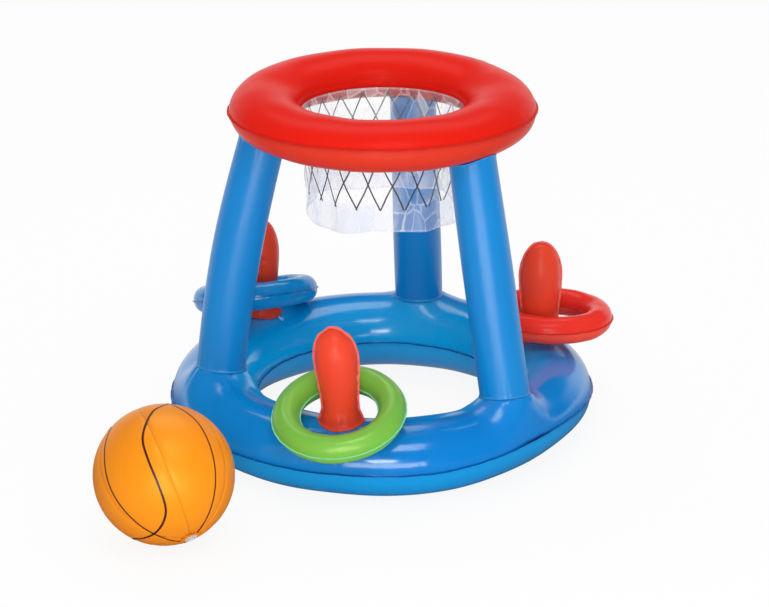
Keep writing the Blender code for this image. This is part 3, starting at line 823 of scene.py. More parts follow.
@dataclass(frozen=True)
class Creases:
    """Small valleys that run out from a weld and fade along the sheet.

    The counts say how many waves each layer has in a full turn.
    """

    depth: float
    reach: float
    counts: tuple[int, ...]
    seed: int
    sharpness: float = 1.5
    weakest_wave: float = 0.6
    full_share: float = 0.55

    def pattern(self, angle: np.ndarray) -> np.ndarray:
        """Depth of the valleys along the weld.

        Args:
            angle: Places along the weld.

        Returns:
            The depth at each place, 0 to about 1.
        """
        rng = random.Random(self.seed)
        total = np.zeros_like(angle)
        for count in self.counts:
            strength = rng.uniform(self.weakest_wave, 1.0)
            total += strength * np.sin(count * angle + rng.uniform(0.0, 2 * math.pi))
        return np.maximum(total / (self.full_share * len(self.counts)), 0.0) ** self.sharpness

    def valleys(self, angle: np.ndarray, distance: np.ndarray) -> np.ndarray:
        """Depth at an angle and a distance from the weld."""
        return self.depth * self.pattern(angle) * np.exp(-np.maximum(distance, 0.0) / self.reach)


# Rings

@dataclass(frozen=True)
class Section:
    """Cross-section of an inflated ring of two welded sheets."""

    centre_radius: float
    half_width: float
    half_height: float
    seam_width: float

    @property
    def arc_height(self) -> float:
        """Height of each sheet's arch above its own flange."""
        return self.half_height - SEAM_OFFSET

    @property
    def hole_radius(self) -> float:
        """Radius inside the inner seam flange."""
        return self.centre_radius - self.half_width - self.seam_width

    def arch(self, lift: np.ndarray) -> tuple[np.ndarray, np.ndarray]:
        """Places across and above the seam, at angles about the section."""
        return self.half_width * np.cos(lift), self.arc_height * np.sin(lift)

    def normal(self, lift: np.ndarray) -> tuple[np.ndarray, np.ndarray]:
        """Outward direction of the wall.

        Args:
            lift: Angles about the section.

        Returns:
            Its parts across and up.
        """
        across = np.cos(lift) / self.half_width
        rise = np.sin(lift) / self.arc_height
        length = np.hypot(across, rise)
        return across / length, rise / length

    def clearance(self, point: Vector) -> float:
        """Distance of a point from the inflated wall.

        Args:
            point: A place in the ring's frame.

        Returns:
            The distance, negative inside.
        """
        across = (math.hypot(point.x, point.y) - self.centre_radius) / self.half_width
        along = max(abs(point.z) - SEAM_OFFSET, 0.0) / self.arc_height
        return (math.hypot(across, along) - 1.0) * min(self.half_width, self.arc_height)


@dataclass(frozen=True)
class WeldPatch:
    """A round weld on a ring's upper sheet, with creases that run out from it."""

    centre: Vector
    radius: float
    creases: Creases


@dataclass(frozen=True)
class Collar:
    """A flat seat that a leg pulls up out of a ring's upper sheet."""

    centre: Vector
    rise: float
    lean: Vector
    radius: float = 0.0365
    fillet: float = 0.0130
    reach: float = 0.0480
    fade: float = 1.6
    stretch_fade: float = 1.2

    def height(self, beside: np.ndarray, ahead: np.ndarray) -> np.ndarray:
        """Height of the seat's plane above the ring's crest, at places beside its centre."""
        return self.rise + beside * self.lean.x + ahead * self.lean.y

    def hold(self, distance: np.ndarray) -> np.ndarray:
        """How far the seat lifts the sheet at a distance from its edge, from 0 to 1."""
        fading = np.clip(self.fade - self.fade * distance / self.reach, 0.0, 1.0)
        return np.exp(-distance / self.fillet) * fading

    def stretch(self, distance: np.ndarray) -> np.ndarray:
        """How far the sheet is stretched at a distance from its edge, from 0 to 1."""
        return ease(np.clip(self.stretch_fade - distance / self.reach, 0.0, 1.0))


@dataclass(frozen=True)
class Slump:
    """A stretch of a ring that is less full on its outer side, with its seam pulled up."""

    heading: float
    half_spread: float
    squeeze: float
    sag: float
    seam_rise: float

    def share(self, turn: np.ndarray) -> np.ndarray:
        """How much of the slump there is at a turn about the ring."""
        swing = np.abs((turn - self.heading + math.pi) % (2 * math.pi) - math.pi)
        return np.cos(np.minimum(swing / self.half_spread, 1.0) * math.pi / 2) ** 2


@dataclass(frozen=True)
class SeamLean:
    """A seam plane that leans: highest at a heading, by its slope times the radius."""

    heading: float
    slope: float


@dataclass
class WeldedRing:
    """An inflated ring: upper and lower sheet, welded along the inner and the outer seam."""

    name: str
    section: Section
    place: Matrix
    body: Body
    slot: Slot
    segments: int
    arch_points: int
    outer: Creases
    inner: Creases
    foot_depth: float = 0.0
    seam_wave: float = 0.0003
    wave_reach: float = 0.008
    unevenness: float = 0.0006
    wave_turns: float = 4.0
    drift_counts: tuple[int, ...] = (2, 3, 5, 8, 13)
    drift_span: float = 2.2
    inner_power: float = 0.7
    free_share: float = 0.7
    creased_share: float = 0.3
    patch_overlap: float = 0.002
    patches: tuple[WeldPatch, ...] = ()
    collars: tuple[Collar, ...] = ()
    slump: Optional[Slump] = None
    seam_lean: SeamLean = SeamLean(0.0, 0.0)

    def section_line(self, side: Side) -> bpy.types.Object:
        """Half of an ellipse with a flange at each end, standing on the ring's seam plane.

        Args:
            side: The sheet that it is for.

        Returns:
            The line, of edges only.
        """
        section = self.section
        bpy.ops.mesh.primitive_circle_add(vertices=self.arch_points, radius=1.0,
                                          location=(section.centre_radius, 0.0, 0.0),
                                          rotation=(math.pi / 2, 0.0, 0.0))
        line = Bench.added("%s_%s_vinyl" % (self.name, side.name.lower()))
        line.scale = (section.half_width, section.arc_height, 1.0)
        Bench.apply_place(line)
        Bench.enter(line)
        Bench.pick(line, Part.POINTS, lambda co: co.z * side.value < -TINY)
        bpy.ops.mesh.delete(type="VERT")
        bpy.ops.mesh.select_all(action="SELECT")
        bpy.ops.transform.translate(value=(0.0, 0.0, side.value * SEAM_OFFSET))
        for end in (1.0, -1.0):
            tip = section.centre_radius + end * section.half_width
            Bench.pick(line, Part.POINTS, lambda co: abs(co.x - tip) < TINY * 10)
            bpy.ops.mesh.extrude_region_move(
                TRANSFORM_OT_translate={"value": (end * section.seam_width, 0.0, 0.0)})
        Bench.cut(line, 2, lambda co: abs(co.x - section.centre_radius) > section.half_width + TINY * 10)
        Bench.leave()
        return line

    def sheet(self, side: Side) -> bpy.types.Object:
        """Spin one sheet about the ring's axis, crease it along its seams and give it its wall.

        Args:
            side: Which sheet.

        Returns:
            The sheet, in its place.
        """
        sheet = self.section_line(side)
        Bench.enter(sheet)
        bpy.ops.mesh.select_all(action="SELECT")
        bpy.ops.mesh.spin(steps=self.segments, angle=2 * math.pi, center=(0, 0, 0), axis=(0, 0, 1))
        Bench.leave()
        Bench.face_outwards(sheet, lambda place: Vector((0.0, 0.0, side.value)))
        self.shape(sheet, side)
        Bench.thicken(sheet)
        Bench.smooth(sheet)
        Bench.apply_place(sheet, self.place)
        return sheet

    def seam_angles(self, turn: np.ndarray, side: Side) -> tuple[np.ndarray, np.ndarray]:
        """Angles about the section at which a sheet meets its leaning seams.

        Args:
            turn: Turns about the ring.
            side: Which sheet.

        Returns:
            The angles at the outer and at the inner seam.
        """
        section = self.section
        swing = np.cos(turn - self.seam_lean.heading) * self.seam_lean.slope
        outer = swing * (section.centre_radius + section.half_width)
        inner = swing * (section.centre_radius - section.half_width)
        if self.slump:
            outer = outer + self.slump.seam_rise * self.slump.share(turn)
        return (np.arcsin(outer / section.arc_height) * side.value,
                math.pi - np.arcsin(inner / section.arc_height) * side.value)

    def shape(self, sheet: bpy.types.Object, side: Side) -> None:
        """Move the spun points to leaning seams, slump, foot, creases, seats and waves.

        Args:
            sheet: The spun sheet.
            side: Which sheet it is.
        """
        section = self.section
        points = Bench.points(sheet)
        turn = np.arctan2(points[:, 1], points[:, 0])
        across = np.hypot(points[:, 0], points[:, 1]) - section.centre_radius
        rise = np.maximum(points[:, 2] * side.value - SEAM_OFFSET, 0.0)
        beyond = np.maximum(np.abs(across) - section.half_width, 0.0)
        flange = beyond > TINY * 20
        is_outer = across > 0
        start, end = self.seam_angles(turn, side)
        plain = np.arctan2(rise / section.arc_height, across / section.half_width)
        lift = start + plain / math.pi * (end - start)
        arc = (section.half_width + section.half_height) / 2
        from_outer = np.where(flange, 0.0, (lift - start) * arc)
        from_inner = np.where(flange, 0.0, (end - lift) * arc)
        nearest = np.where(is_outer, from_outer, from_inner)
        across, rise = section.arch(lift)
        across += np.where(is_outer, beyond, -beyond)
        normal_across, normal_rise = section.normal(lift)
        depth = np.where(is_outer, self.outer.valleys(turn, from_outer),
                         self.inner.valleys(turn, from_inner))
        depth += self.unevenness * np.sin(np.maximum(lift, 0.0)) * self.drift(turn, side)
        across -= depth * normal_across
        rise -= depth * np.where(flange, 0.0, normal_rise)
        if self.slump:
            share = self.slump.share(turn)
            across = np.where(across > 0, across * (1 - self.slump.squeeze * share), across)
            if side is Side.LOWER:
                rise -= rise * self.slump.sag * share * np.maximum(np.cos(lift), 0.0) * ~flange
        if self.foot_depth and side is Side.LOWER:
            rise = np.minimum(rise, section.arc_height - self.foot_depth)
        wave = self.seam_wave * self.drift(turn * self.wave_turns, Side.UPPER)
        wave *= np.exp(-nearest / self.wave_reach)
        height = (rise + SEAM_OFFSET) * side.value + wave
        reach = across + section.centre_radius
        points = np.stack((reach * np.cos(turn), reach * np.sin(turn), height), axis=1)
        # The "under" and "inner" masks set where a finish paints floor light on the lower sheet and a glow
        # towards the hole.
        if side is Side.UPPER:
            Bench.paint(sheet, stretch=self.seat_patches(points, rise))
        else:
            Bench.paint(sheet, under=np.ones(len(points)))
        Bench.move(sheet, points)
        Bench.paint(sheet, weld=flange, run=turn * section.centre_radius,
                    inner=np.clip(-across / section.half_width, 0.0, 1.0) ** self.inner_power)

    def seat_patches(self, points: np.ndarray, rise: np.ndarray) -> np.ndarray:
        """Raise the legs' seats and crease the sheet round the welds of legs and pegs.

        Args:
            points: The sheet's points, which are moved in place.
            rise: Their heights above the seam.

        Returns:
            How far each point is stretched by a seat, from 0 to 1.
        """
        stretch = np.zeros(len(points))
        free = ease(np.clip(rise / (self.free_share * self.section.arc_height), 0.0, 1.0))
        for collar in self.collars:
            beside = points[:, 0] - collar.centre.x
            ahead = points[:, 1] - collar.centre.y
            distance = np.maximum(np.hypot(beside, ahead) - collar.radius, 0.0)
            seat = self.section.half_height + collar.height(beside, ahead)
            points[:, 2] += np.maximum(seat - points[:, 2], 0.0) * collar.hold(distance) * free
            stretch = np.maximum(stretch, collar.stretch(distance))
        for patch in self.patches:
            beside = points[:, 0] - patch.centre.x
            ahead = points[:, 1] - patch.centre.y
            distance = np.hypot(beside, ahead) - patch.radius
            high = rise > self.creased_share * self.section.arc_height
            creased = high & (distance > -self.patch_overlap)
            points[:, 2] -= patch.creases.valleys(np.arctan2(ahead, beside), distance) * creased
        return stretch

    def drift(self, turn: np.ndarray, side: Side) -> np.ndarray:
        """Slow unevenness round the ring.

        Args:
            turn: Turns about the ring.
            side: Which sheet.

        Returns:
            The unevenness at each turn, about -1 to 1.
        """
        rng = random.Random(self.outer.seed + side.value)
        total = np.zeros_like(turn)
        for count in self.drift_counts:
            total += np.sin(count * turn + rng.uniform(0.0, 2 * math.pi)) / self.drift_span
        return total

    def build(self, material: bpy.types.Material) -> None:
        """Make and dress both sheets.

        Args:
            material: Their finish.
        """
        for side in Side:
            node = "%s_%s_sheet" % (self.name, side.name.lower())
            Bench.dress(self.sheet(side), material, self.slot, self.body, (node,))


# Legs

@dataclass(frozen=True)
class Station:
    """Where a leg or peg stands on the base ring, in degrees and in metres out from its crest."""

    name: str
    seed: int
    angle: float
    shift: float

    def centre(self, section: Section, height: float = 0.0) -> Vector:
        """Centre of the weld on a ring of some section, in the ring's frame."""
        return polar(math.radians(self.angle), section.centre_radius + self.shift, height)


@dataclass(frozen=True)
class LegStation(Station):
    """A leg's station, with the place of its head on the hoop and the rise of its collar."""

    head_angle: float
    head_shift: float
    rise: float
    bow: float = 0.0


@dataclass(frozen=True)
class Spine:
    """A leg's straight centre line, with its two directions across."""

    middle: Vector
    half: float
    along: Vector
    outward: Vector
    sideways: Vector


@dataclass
class Leg:
    """A rolled sheet from the base ring's crest to the hoop's underside."""

    station: LegStation
    base: WeldedRing
    hoop: WeldedRing
    collar: Collar
    foot_radius: float = 0.0350
    head_radius: float = 0.0330
    lip: float = 0.0014
    lip_reach: float = 0.0014
    bulge: float = 0.0008
    unevenness: float = 0.0005
    uneven_turn: float = 5.0
    weld_share: float = 0.25
    crease_start: float = 0.003
    crease_edge: float = 0.002
    head_crease_share: float = 0.7
    sides: int = 132
    rows: int = 110
    row_crowding: float = 0.62
    end_margin: float = 0.050

    def spine(self) -> Spine:
        """Centre line between the base's crest and the hoop's underside.

        Returns:
            The centre line.
        """
        base = self.base.place.translation
        hoop = self.hoop.place.translation
        axis_line = Vector((base.x, base.y, 0.0))
        foot = self.station.centre(self.base.section, base.z + self.base.section.half_height) + axis_line
        head = polar(math.radians(self.station.head_angle),
                     self.hoop.section.centre_radius + self.station.head_shift,
                     hoop.z - self.hoop.section.half_height) + axis_line
        along = (head - foot).normalized()
        sideways = Vector((0, 0, 1)).cross(polar(math.radians(self.station.angle), 1.0)).normalized()
        outward = sideways.cross(along).normalized()
        return Spine((foot + head) / 2, (head - foot).length / 2, along, outward, sideways)

    def ends(self, spine: Spine, angles: np.ndarray) -> tuple[np.ndarray, np.ndarray]:
        """Distances from the leg's middle to the collar's seat and to the hoop's wall.

        Args:
            spine: The leg's centre line.
            angles: Angles about it.

        Returns:
            The distances down and up, at each angle.
        """
        collar = self.collar
        along = spine.along
        crest = Vector((0.0, 0.0, self.base.section.half_height))
        fall = along.z - along.x * collar.lean.x - along.y * collar.lean.y
        keys = np.round(angles * self.sides / (2 * math.pi)).astype(int) % self.sides
        down = {}
        up = {}
        for key in set(keys.tolist()):
            angle = key * 2 * math.pi / self.sides
            radial = spine.outward * math.cos(angle) + spine.sideways * math.sin(angle)
            low = spine.middle + radial * (self.foot_radius + self.lip) - self.base.place.translation
            high = spine.middle + radial * (self.head_radius + self.lip) - self.hoop.place.translation
            beside = low - crest - collar.centre
            above = beside.z - WELD_GAP - collar.rise - beside.x * collar.lean.x - beside.y * collar.lean.y
            down[key] = above / fall
            up[key] = solve(lambda t: WELD_OFFSET - self.hoop.section.clearance(high + along * t),
                            0.0, spine.half + self.end_margin)
        return (np.array([down[key] for key in keys.tolist()]),
                np.array([up[key] for key in keys.tolist()]))

    def build(self, material: bpy.types.Material) -> None:
        """Make and dress the leg.

        Args:
            material: Its finish.
        """
        spine = self.spine()
        creases = Creases(depth=0.0011, reach=0.011, counts=(9, 14, 19, 26), seed=self.station.seed)
        bpy.ops.mesh.primitive_cylinder_add(vertices=self.sides, radius=self.foot_radius,
                                            depth=2.0, end_fill_type="NOTHING")
        leg = Bench.added(self.station.name + "_vinyl")
        Bench.enter(leg)
        Bench.cut(leg, self.rows, lambda co: abs(co.z) < 0.5)
        Bench.leave()
        points = Bench.points(leg)
        angles = np.arctan2(points[:, 1], points[:, 0])
        low_end, high_end = self.ends(spine, angles)
        share = (points[:, 2] + 1.0) / 2
        eased = share - self.row_crowding * np.sin(2 * math.pi * share) / (2 * math.pi)
        travel = -low_end + eased * (low_end + high_end)
        from_foot = travel + low_end
        from_head = high_end - travel
        straight = np.clip((travel + spine.half) / (2 * spine.half), 0.0, 1.0)
        swell = np.sin(math.pi * straight)
        radius = self.foot_radius + (self.head_radius - self.foot_radius) * straight + self.bulge * swell
        radius += self.lip * (np.exp(-from_foot / self.lip_reach) + np.exp(-from_head / self.lip_reach))
        radius -= creases.valleys(angles, from_foot - self.crease_start) * (from_foot > self.crease_edge)
        head_valleys = creases.valleys(-angles, from_head - self.crease_start)
        radius -= self.head_crease_share * head_valleys * (from_head > self.crease_edge)
        turn = 2 * angles + self.uneven_turn * straight + self.station.seed
        radius += self.unevenness * swell * np.sin(turn)
        cosine = radius * np.cos(angles) + self.station.bow * swell
        sine = radius * np.sin(angles)
        Bench.move(leg, np.array(spine.middle) + np.outer(travel, np.array(spine.along))
                   + np.outer(cosine, np.array(spine.outward)) + np.outer(sine, np.array(spine.sideways)))
        near_end = np.exp(-np.minimum(from_foot, from_head) / self.lip_reach)
        Bench.paint(leg, weld=near_end > self.weld_share, run=angles * self.foot_radius)
        Bench.wall(leg, lambda place: place - spine.middle
                   - spine.along * (place - spine.middle).dot(spine.along))
        Bench.dress(leg, material, Slot.BLUE, Body.FLOAT, (self.station.name,))


# Pegs

@dataclass(frozen=True)
class PegStation(Station):
    """A peg's station, with its height, the heading of its seam line and its slides along it."""

    height: float
    seam_heading: float
    foot_slide: float = 0.0
    top_slide: float = 0.0


@dataclass(frozen=True)
class PouchPoint:
    """A point of a panel: across the seam line, out of it and up, before it meets the base.

    The level is its height on the plain outline.
    """

    across: float
    deep: float
    rise: float
    level: float
    ripple: float
    welded: bool


@dataclass
class Peg:
    """An inflated peg of two panels, welded along its side seams and over the rounded top."""

    station: PegStation
    base: WeldedRing
    foot_half: float = 0.0285
    neck_half: float = 0.0240
    belly_half: float = 0.0290
    neck_height: float = 0.020
    belly_height: float = 0.092
    depth_ratio: float = 0.92
    seam: float = 0.0030
    lip: float = 0.0035
    lip_reach: float = 0.0016
    fold_height: float = 0.006
    pucker_pitch: float = 0.05
    pucker_step: float = 6.0
    pucker_rise: float = 0.05
    foot_pucker: float = 0.25
    least_width: float = 0.004
    ground_margin: float = 0.004
    ripple: float = 0.0005
    ripple_turn: float = 420.0
    ripple_reach: float = 0.004
    columns: int = 66
    flange_columns: int = 3
    rows: int = 104

    @property
    def dome(self) -> float:
        """Height of the rounded top, inside its seam."""
        return self.station.height - self.seam - self.belly_height

    def half_width(self, height: float) -> float:
        """Half width of the pouch inside its seams.

        Args:
            height: Height above the foot.

        Returns:
            The half width.
        """
        if height < self.neck_height:
            return blend(self.foot_half, self.neck_half, height / self.neck_height)
        if height < self.belly_height:
            share = (height - self.neck_height) / (self.belly_height - self.neck_height)
            return blend(self.neck_half, self.belly_half, share)
        share = (height - self.belly_height) / self.dome
        return self.belly_half * math.sqrt(max(0.0, 1 - share * share))

    def outline(self, share: float) -> tuple[float, float, float, float]:
        """Outline of the pouch, from the foot over the belly to the top.

        Args:
            share: Share of the way up the outline.

        Returns:
            Its half width, its height, and its outward direction across and up.
        """
        straight = self.belly_height
        dome_length = math.pi / 2 * (self.dome + self.belly_half) / 2
        way = share * (straight + dome_length)
        if way < straight:
            step = 0.001
            slope = (self.half_width(way + step) - self.half_width(max(way - step, 0.0))) / (2 * step)
            length = math.hypot(1.0, slope)
            return self.half_width(way), way, 1.0 / length, -slope / length
        angle = (way - straight) / dome_length * math.pi / 2
        length = math.hypot(math.cos(angle) / self.belly_half, math.sin(angle) / self.dome)
        return (self.belly_half * math.cos(angle), straight + self.dome * math.sin(angle),
                math.cos(angle) / self.belly_half / length, math.sin(angle) / self.dome / length)

    def pouch(self, column: int, share: float, panel: Panel) -> PouchPoint:
        """A point of a panel on its own: bulged, puckered along the seams, folded at the foot.

        Args:
            column: The point's column, from one flange's edge to the other's.
            share: Share of its way up the outline.
            panel: Which panel.

        Returns:
            The point.
        """
        seed = self.station.seed
        puckers = Creases(depth=0.0024, reach=0.0110, counts=(5, 9, 14, 21), seed=seed, sharpness=1.2)
        folds = Creases(depth=0.0010, reach=0.0090, counts=(8, 13, 19), seed=seed + 5)
        wide, high, out_across, out_up = self.outline(share)
        bend = math.pi * min(max(column - self.flange_columns, 0), self.columns) / self.columns
        outside = max(self.flange_columns - column, column - self.flange_columns - self.columns, 0)
        end = 1.0 if bend < math.pi / 2 else -1.0
        flare = self.lip * math.exp(-high / self.lip_reach)
        across = math.cos(bend) * (wide + flare)
        deep = math.sin(bend) * (wide * self.depth_ratio + flare)
        seam_distance = min(bend, math.pi - bend) * max(wide, self.least_width)
        way = high * end / self.pucker_pitch + (0.0 if end > 0 else self.pucker_step)
        pucker = float(puckers.pattern(np.array([way]))[0])
        pucker *= blend(self.foot_pucker, 1.0, (high - self.pucker_rise) / self.pucker_rise)
        pucker *= puckers.depth * math.exp(-seam_distance / puckers.reach)
        across -= end * out_across * pucker
        rise = high - out_up * pucker
        fold = folds.depth * float(folds.pattern(np.array([bend * 0.5 + panel.value]))[0])
        deep -= fold * math.exp(-abs(high - self.fold_height) / folds.reach) * math.sin(bend)
        if outside:
            reach = outside / self.flange_columns
            across += end * out_across * self.seam * reach
            rise += out_up * self.seam * reach
        wave = math.sin(high * self.ripple_turn + seed)
        ripple = self.ripple * wave * math.exp(-seam_distance / self.ripple_reach)
        return PouchPoint(across, deep, rise, high, ripple, outside > 0)

    def panel(self, panel: Panel, material: bpy.types.Material) -> None:
        """Make and dress one panel.

        Args:
            panel: Which panel.
            material: Its finish.
        """
        station = self.station
        section = self.base.section
        seam_line = polar(math.radians(station.seam_heading), 1.0)
        normal = Vector((-seam_line.y, seam_line.x, 0.0)) * panel.value
        foot = station.centre(section)
        foot_slide = station.foot_slide
        crest = section.half_height
        name = "%s_%s_panel" % (station.name, panel.name.lower())
        cells = self.columns + 2 * self.flange_columns
        sheet = Bench.grid(name + "_vinyl", cells, self.rows)
        points = Bench.points(sheet)
        columns = np.round((points[:, 0] + 1) / 2 * cells).astype(int)
        shares = (points[:, 1] + 1) / 2
        weld = np.zeros(len(points))
        run = np.zeros(len(points))
        ground = {}
        for k in range(len(points)):
            point = self.pouch(int(columns[k]), float(shares[k]), panel)
            slide = foot_slide + (station.top_slide - foot_slide) * point.level / station.height
            place = foot + seam_line * (point.across * panel.value + slide)
            place += normal * (point.deep + SEAM_OFFSET)
            fall = 0.0
            if point.level < self.neck_height:
                key = (int(columns[k]), round(point.across, 6), round(point.deep, 6))
                if key not in ground:
                    ground[key] = solve(
                        lambda z: section.clearance(place + Vector((0, 0, z))) - WELD_OFFSET,
                        0.0, crest + self.ground_margin) - crest
                fall = ground[key] * max(0.0, 1 - point.level / self.neck_height)
            spot = place + Vector((0.0, 0.0, crest + point.rise + fall))
            spot += normal * panel.value * point.ripple
            points[k] = spot + self.base.place.translation
            weld[k] = point.welded
            run[k] = point.level
        Bench.move(sheet, points)
        Bench.paint(sheet, weld=weld, run=run)
        Bench.wall(sheet, lambda spot: normal)
        Bench.dress(sheet, material, Slot.RED, Body.FLOAT, (name,))

    def build(self, material: bpy.types.Material) -> None:
        """Make both panels."""
        for panel in Panel:
            self.panel(panel, material)


# Net sleeve

@dataclass
class NetSleeve:
    """The clear film sleeve under the hoop, with the net that is printed on it."""

    hoop: WeldedRing
    length: float = 0.151
    taper: float = 0.0030
    fold_depth: float = 0.0035
    folds: int = 7
    small_folds: int = 11
    small_share: float = 0.5
    small_turn: float = 1.0
    facet_depth: float = 0.0008
    facet_turns: float = 2.6
    facet_rows: float = 17.0
    facet_onset: float = 5.0
    coarse_height: float = 2.4
    coarse_start: Vector = Vector((3.1, 0.0, 0.0))
    fine_height: float = 0.72
    fine_scale: float = 2.3
    fine_start: Vector = Vector((0.0, 5.7, 0.0))
    # Shape of the crease mask, which places the film's painted highlights on its sharp folds.
    crease_gain: float = 1.5
    crease_floor: float = 0.35
    crease_onset: float = 3.0
    hem_wave: float = 0.0050
    hem_waves: int = 3
    hem_turn: float = 0.6
    hem_start: float = 0.68
    hem_fade: float = 0.10
    weld_top: float = 0.02
    weld_bottom: float = 0.985
    columns: int = 420
    rows: int = 76
    film: float = 0.00016
    peaks: int = 20
    net_top: float = 0.0070
    net_bottom: float = 0.1160
    strand_steps: int = 3
    strand_cells: int = 48
    strand_sway: float = 0.0011
    sway_turn: float = 9.0
    line_width: float = 0.0020
    line_lift: float = 0.00035
    knot_half_width: float = 0.0019
    knot_half_height: float = 0.0011
    knot_sides: int = 14
    print_turn: float = math.radians(7.6)
    print_drift: float = math.radians(-3.7)

    def crumple(self, angle: float, drop: float) -> float:
        """Facets of the limp film.

        Args:
            angle: Angle about the sleeve.
            drop: Distance below the seam.

        Returns:
            Their height at that place, about -1 to 1.
        """
        place = polar(angle, self.facet_turns, drop * self.facet_rows)
        coarse = abs(noise.noise(place + self.coarse_start)) * self.coarse_height
        fine = abs(noise.noise(place * self.fine_scale + self.fine_start)) * self.fine_height
        return 1.0 - coarse - fine

    def radius(self, angle: float, drop: float) -> float:
        """Distance of the film from the hoop's axis.

        Args:
            angle: Angle about the sleeve.
            drop: Distance below the seam.

        Returns:
            The distance.
        """
        share = drop / self.length
        wave = math.cos(self.folds * angle)
        wave += self.small_share * math.cos(self.small_folds * angle + self.small_turn)
        crest = 1 + self.small_share
        top = self.hoop.section.hole_radius - GAP
        folds = self.fold_depth * share * (wave - crest)
        hold = min(share * self.facet_onset, 1.0)
        facets = self.facet_depth * hold * (1.0 - self.crumple(angle, drop))
        return top - self.taper * share + folds - facets

    def drop(self, angle: float, share: float) -> float:
        """Distance below the seam at a share of the length."""
        return share * (self.length + self.hem_wave * math.cos(self.hem_waves * angle + self.hem_turn))

    def peak_angle(self, peak: int) -> float:
        """Angle of a printed peak, the print being a little stretched at one side."""
        angle = 2 * math.pi * peak / self.peaks + self.print_turn
        return angle + self.print_drift * math.cos(angle - math.radians(FRONT))

    def seam_shift(self, angle: float) -> float:
        """Height of the hoop's inner seam above its middle plane.

        Args:
            angle: Angle about the hoop.

        Returns:
            The height.
        """
        lean = self.hoop.seam_lean
        inner = self.hoop.section.centre_radius - self.hoop.section.half_width
        return lean.slope * inner * math.cos(angle - lean.heading)

    def ink_spot(self, angle: float, drop: float) -> Vector:
        """Place of the print, just outside the film."""
        return polar(angle, self.radius(angle, drop) + self.line_lift,
                     self.seam_shift(angle) * (1 - drop / self.length) - drop)

    def film_piece(self) -> bpy.types.Object:
        """The film: a circle drawn down, folded and crumpled.

        Returns:
            The film, in its place.
        """
        bpy.ops.mesh.primitive_circle_add(vertices=self.columns, radius=self.hoop.section.hole_radius)
        film = Bench.added("net_film")
        Bench.enter(film)
        bpy.ops.mesh.select_all(action="SELECT")
        bpy.ops.mesh.extrude_region_move(TRANSFORM_OT_translate={"value": (0.0, 0.0, -self.length)})
        Bench.cut(film, self.rows, lambda co: -self.length * 0.9 < co.z < -self.length * 0.1)
        Bench.leave()
        points = Bench.points(film)
        crease = np.zeros(len(points))
        weld = np.zeros(len(points))
        hem = np.zeros(len(points))
        for k, (x, y, z) in enumerate(points.tolist()):
            angle = math.atan2(y, x)
            share = -z / self.length
            drop = self.drop(angle, share)
            points[k] = polar(angle, self.radius(angle, drop), self.seam_shift(angle) * (1 - share) - drop)
            # Painted highlight: the crease mask makes the film whiter and more opaque on sharp folds.
            sharp = max(0.0, self.crumple(angle, drop) * self.crease_gain - self.crease_floor)
            crease[k] = sharp ** 2 * min(share * self.crease_onset, 1.0)
            weld[k] = share < self.weld_top or share > self.weld_bottom
            hem[k] = blend(0.0, 1.0, (share - self.hem_start) / self.hem_fade)
        Bench.move(film, points)
        Bench.paint(film, crease=np.minimum(crease, 1.0), weld=weld, hem=hem)
        Bench.wall(film, lambda place: Vector((place.x, place.y, 0.0)), self.film, 60.0)
        Bench.apply_place(film, self.hoop.place)
        return film

    def strand(self, peak: int, lean: int) -> bpy.types.Object:
        """One printed diagonal, from a peak down to the bottom of the net.

        Args:
            peak: The peak's number.
            lean: 1 or -1, the way that the strand leans.

        Returns:
            The strand.
        """
        start = self.peak_angle(peak)
        phase = random.Random(peak * 2 + (lean > 0)).uniform(0.0, 2 * math.pi)
        strand = Bench.strip("net_strand", self.strand_cells)
        points = Bench.points(strand)
        length = self.net_bottom - self.net_top
        spread = self.strand_steps * (math.pi / self.peaks)
        for k, (x, y, _) in enumerate(points.tolist()):
            share = (y + 1) / 2
            sway = self.strand_sway * math.sin(share * self.sway_turn + phase) * math.sin(math.pi * share)
            angle = start + lean * spread * share
            drop = self.net_top + length * share
            radius = self.radius(angle, drop)
            steep = math.atan2(length, spread * radius)
            edge = x * self.line_width / 2
            angle += (edge * math.sin(steep) + sway) / radius
            drop -= lean * edge * math.cos(steep)
            points[k] = self.ink_spot(angle, drop)
        Bench.move(strand, points)
        Bench.face_outwards(strand, lambda place: Vector((place.x, place.y, 0.0)))
        return strand

    def knot(self, peak: int) -> bpy.types.Object:
        """The short bar that is printed at a peak.

        Args:
            peak: The peak's number.

        Returns:
            The bar.
        """
        bpy.ops.mesh.primitive_circle_add(vertices=self.knot_sides, radius=1.0, fill_type="NGON")
        knot = Bench.added("net_knot")
        points = Bench.points(knot)
        for k, (x, y, _) in enumerate(points.tolist()):
            turn = self.peak_angle(peak) + x * self.knot_half_width / self.hoop.section.hole_radius
            points[k] = self.ink_spot(turn, self.net_top - y * self.knot_half_height)
        Bench.move(knot, points)
        Bench.face_outwards(knot, lambda place: Vector((place.x, place.y, 0.0)))
        return knot

    def build(self, finishes: Finishes) -> None:
        """Make and dress the film and its print.

        Args:
            finishes: The set's finishes.
        """
        film = self.film_piece()
        shapes = [self.strand(peak, lean) for peak in range(self.peaks) for lean in (1, -1)]
        shapes += [self.knot(peak) for peak in range(self.peaks)]
        net = Bench.printed(shapes, "net_print", self.hoop.place)
        Bench.dress(net, finishes.net_ink, Slot.FILM, Body.FLOAT)
        Bench.dress(film, finishes.film, Slot.FILM, Body.FLOAT, ("net_sleeve",))
        flat_width = 2 * math.pi * (self.hoop.section.hole_radius - GAP)


# Ball

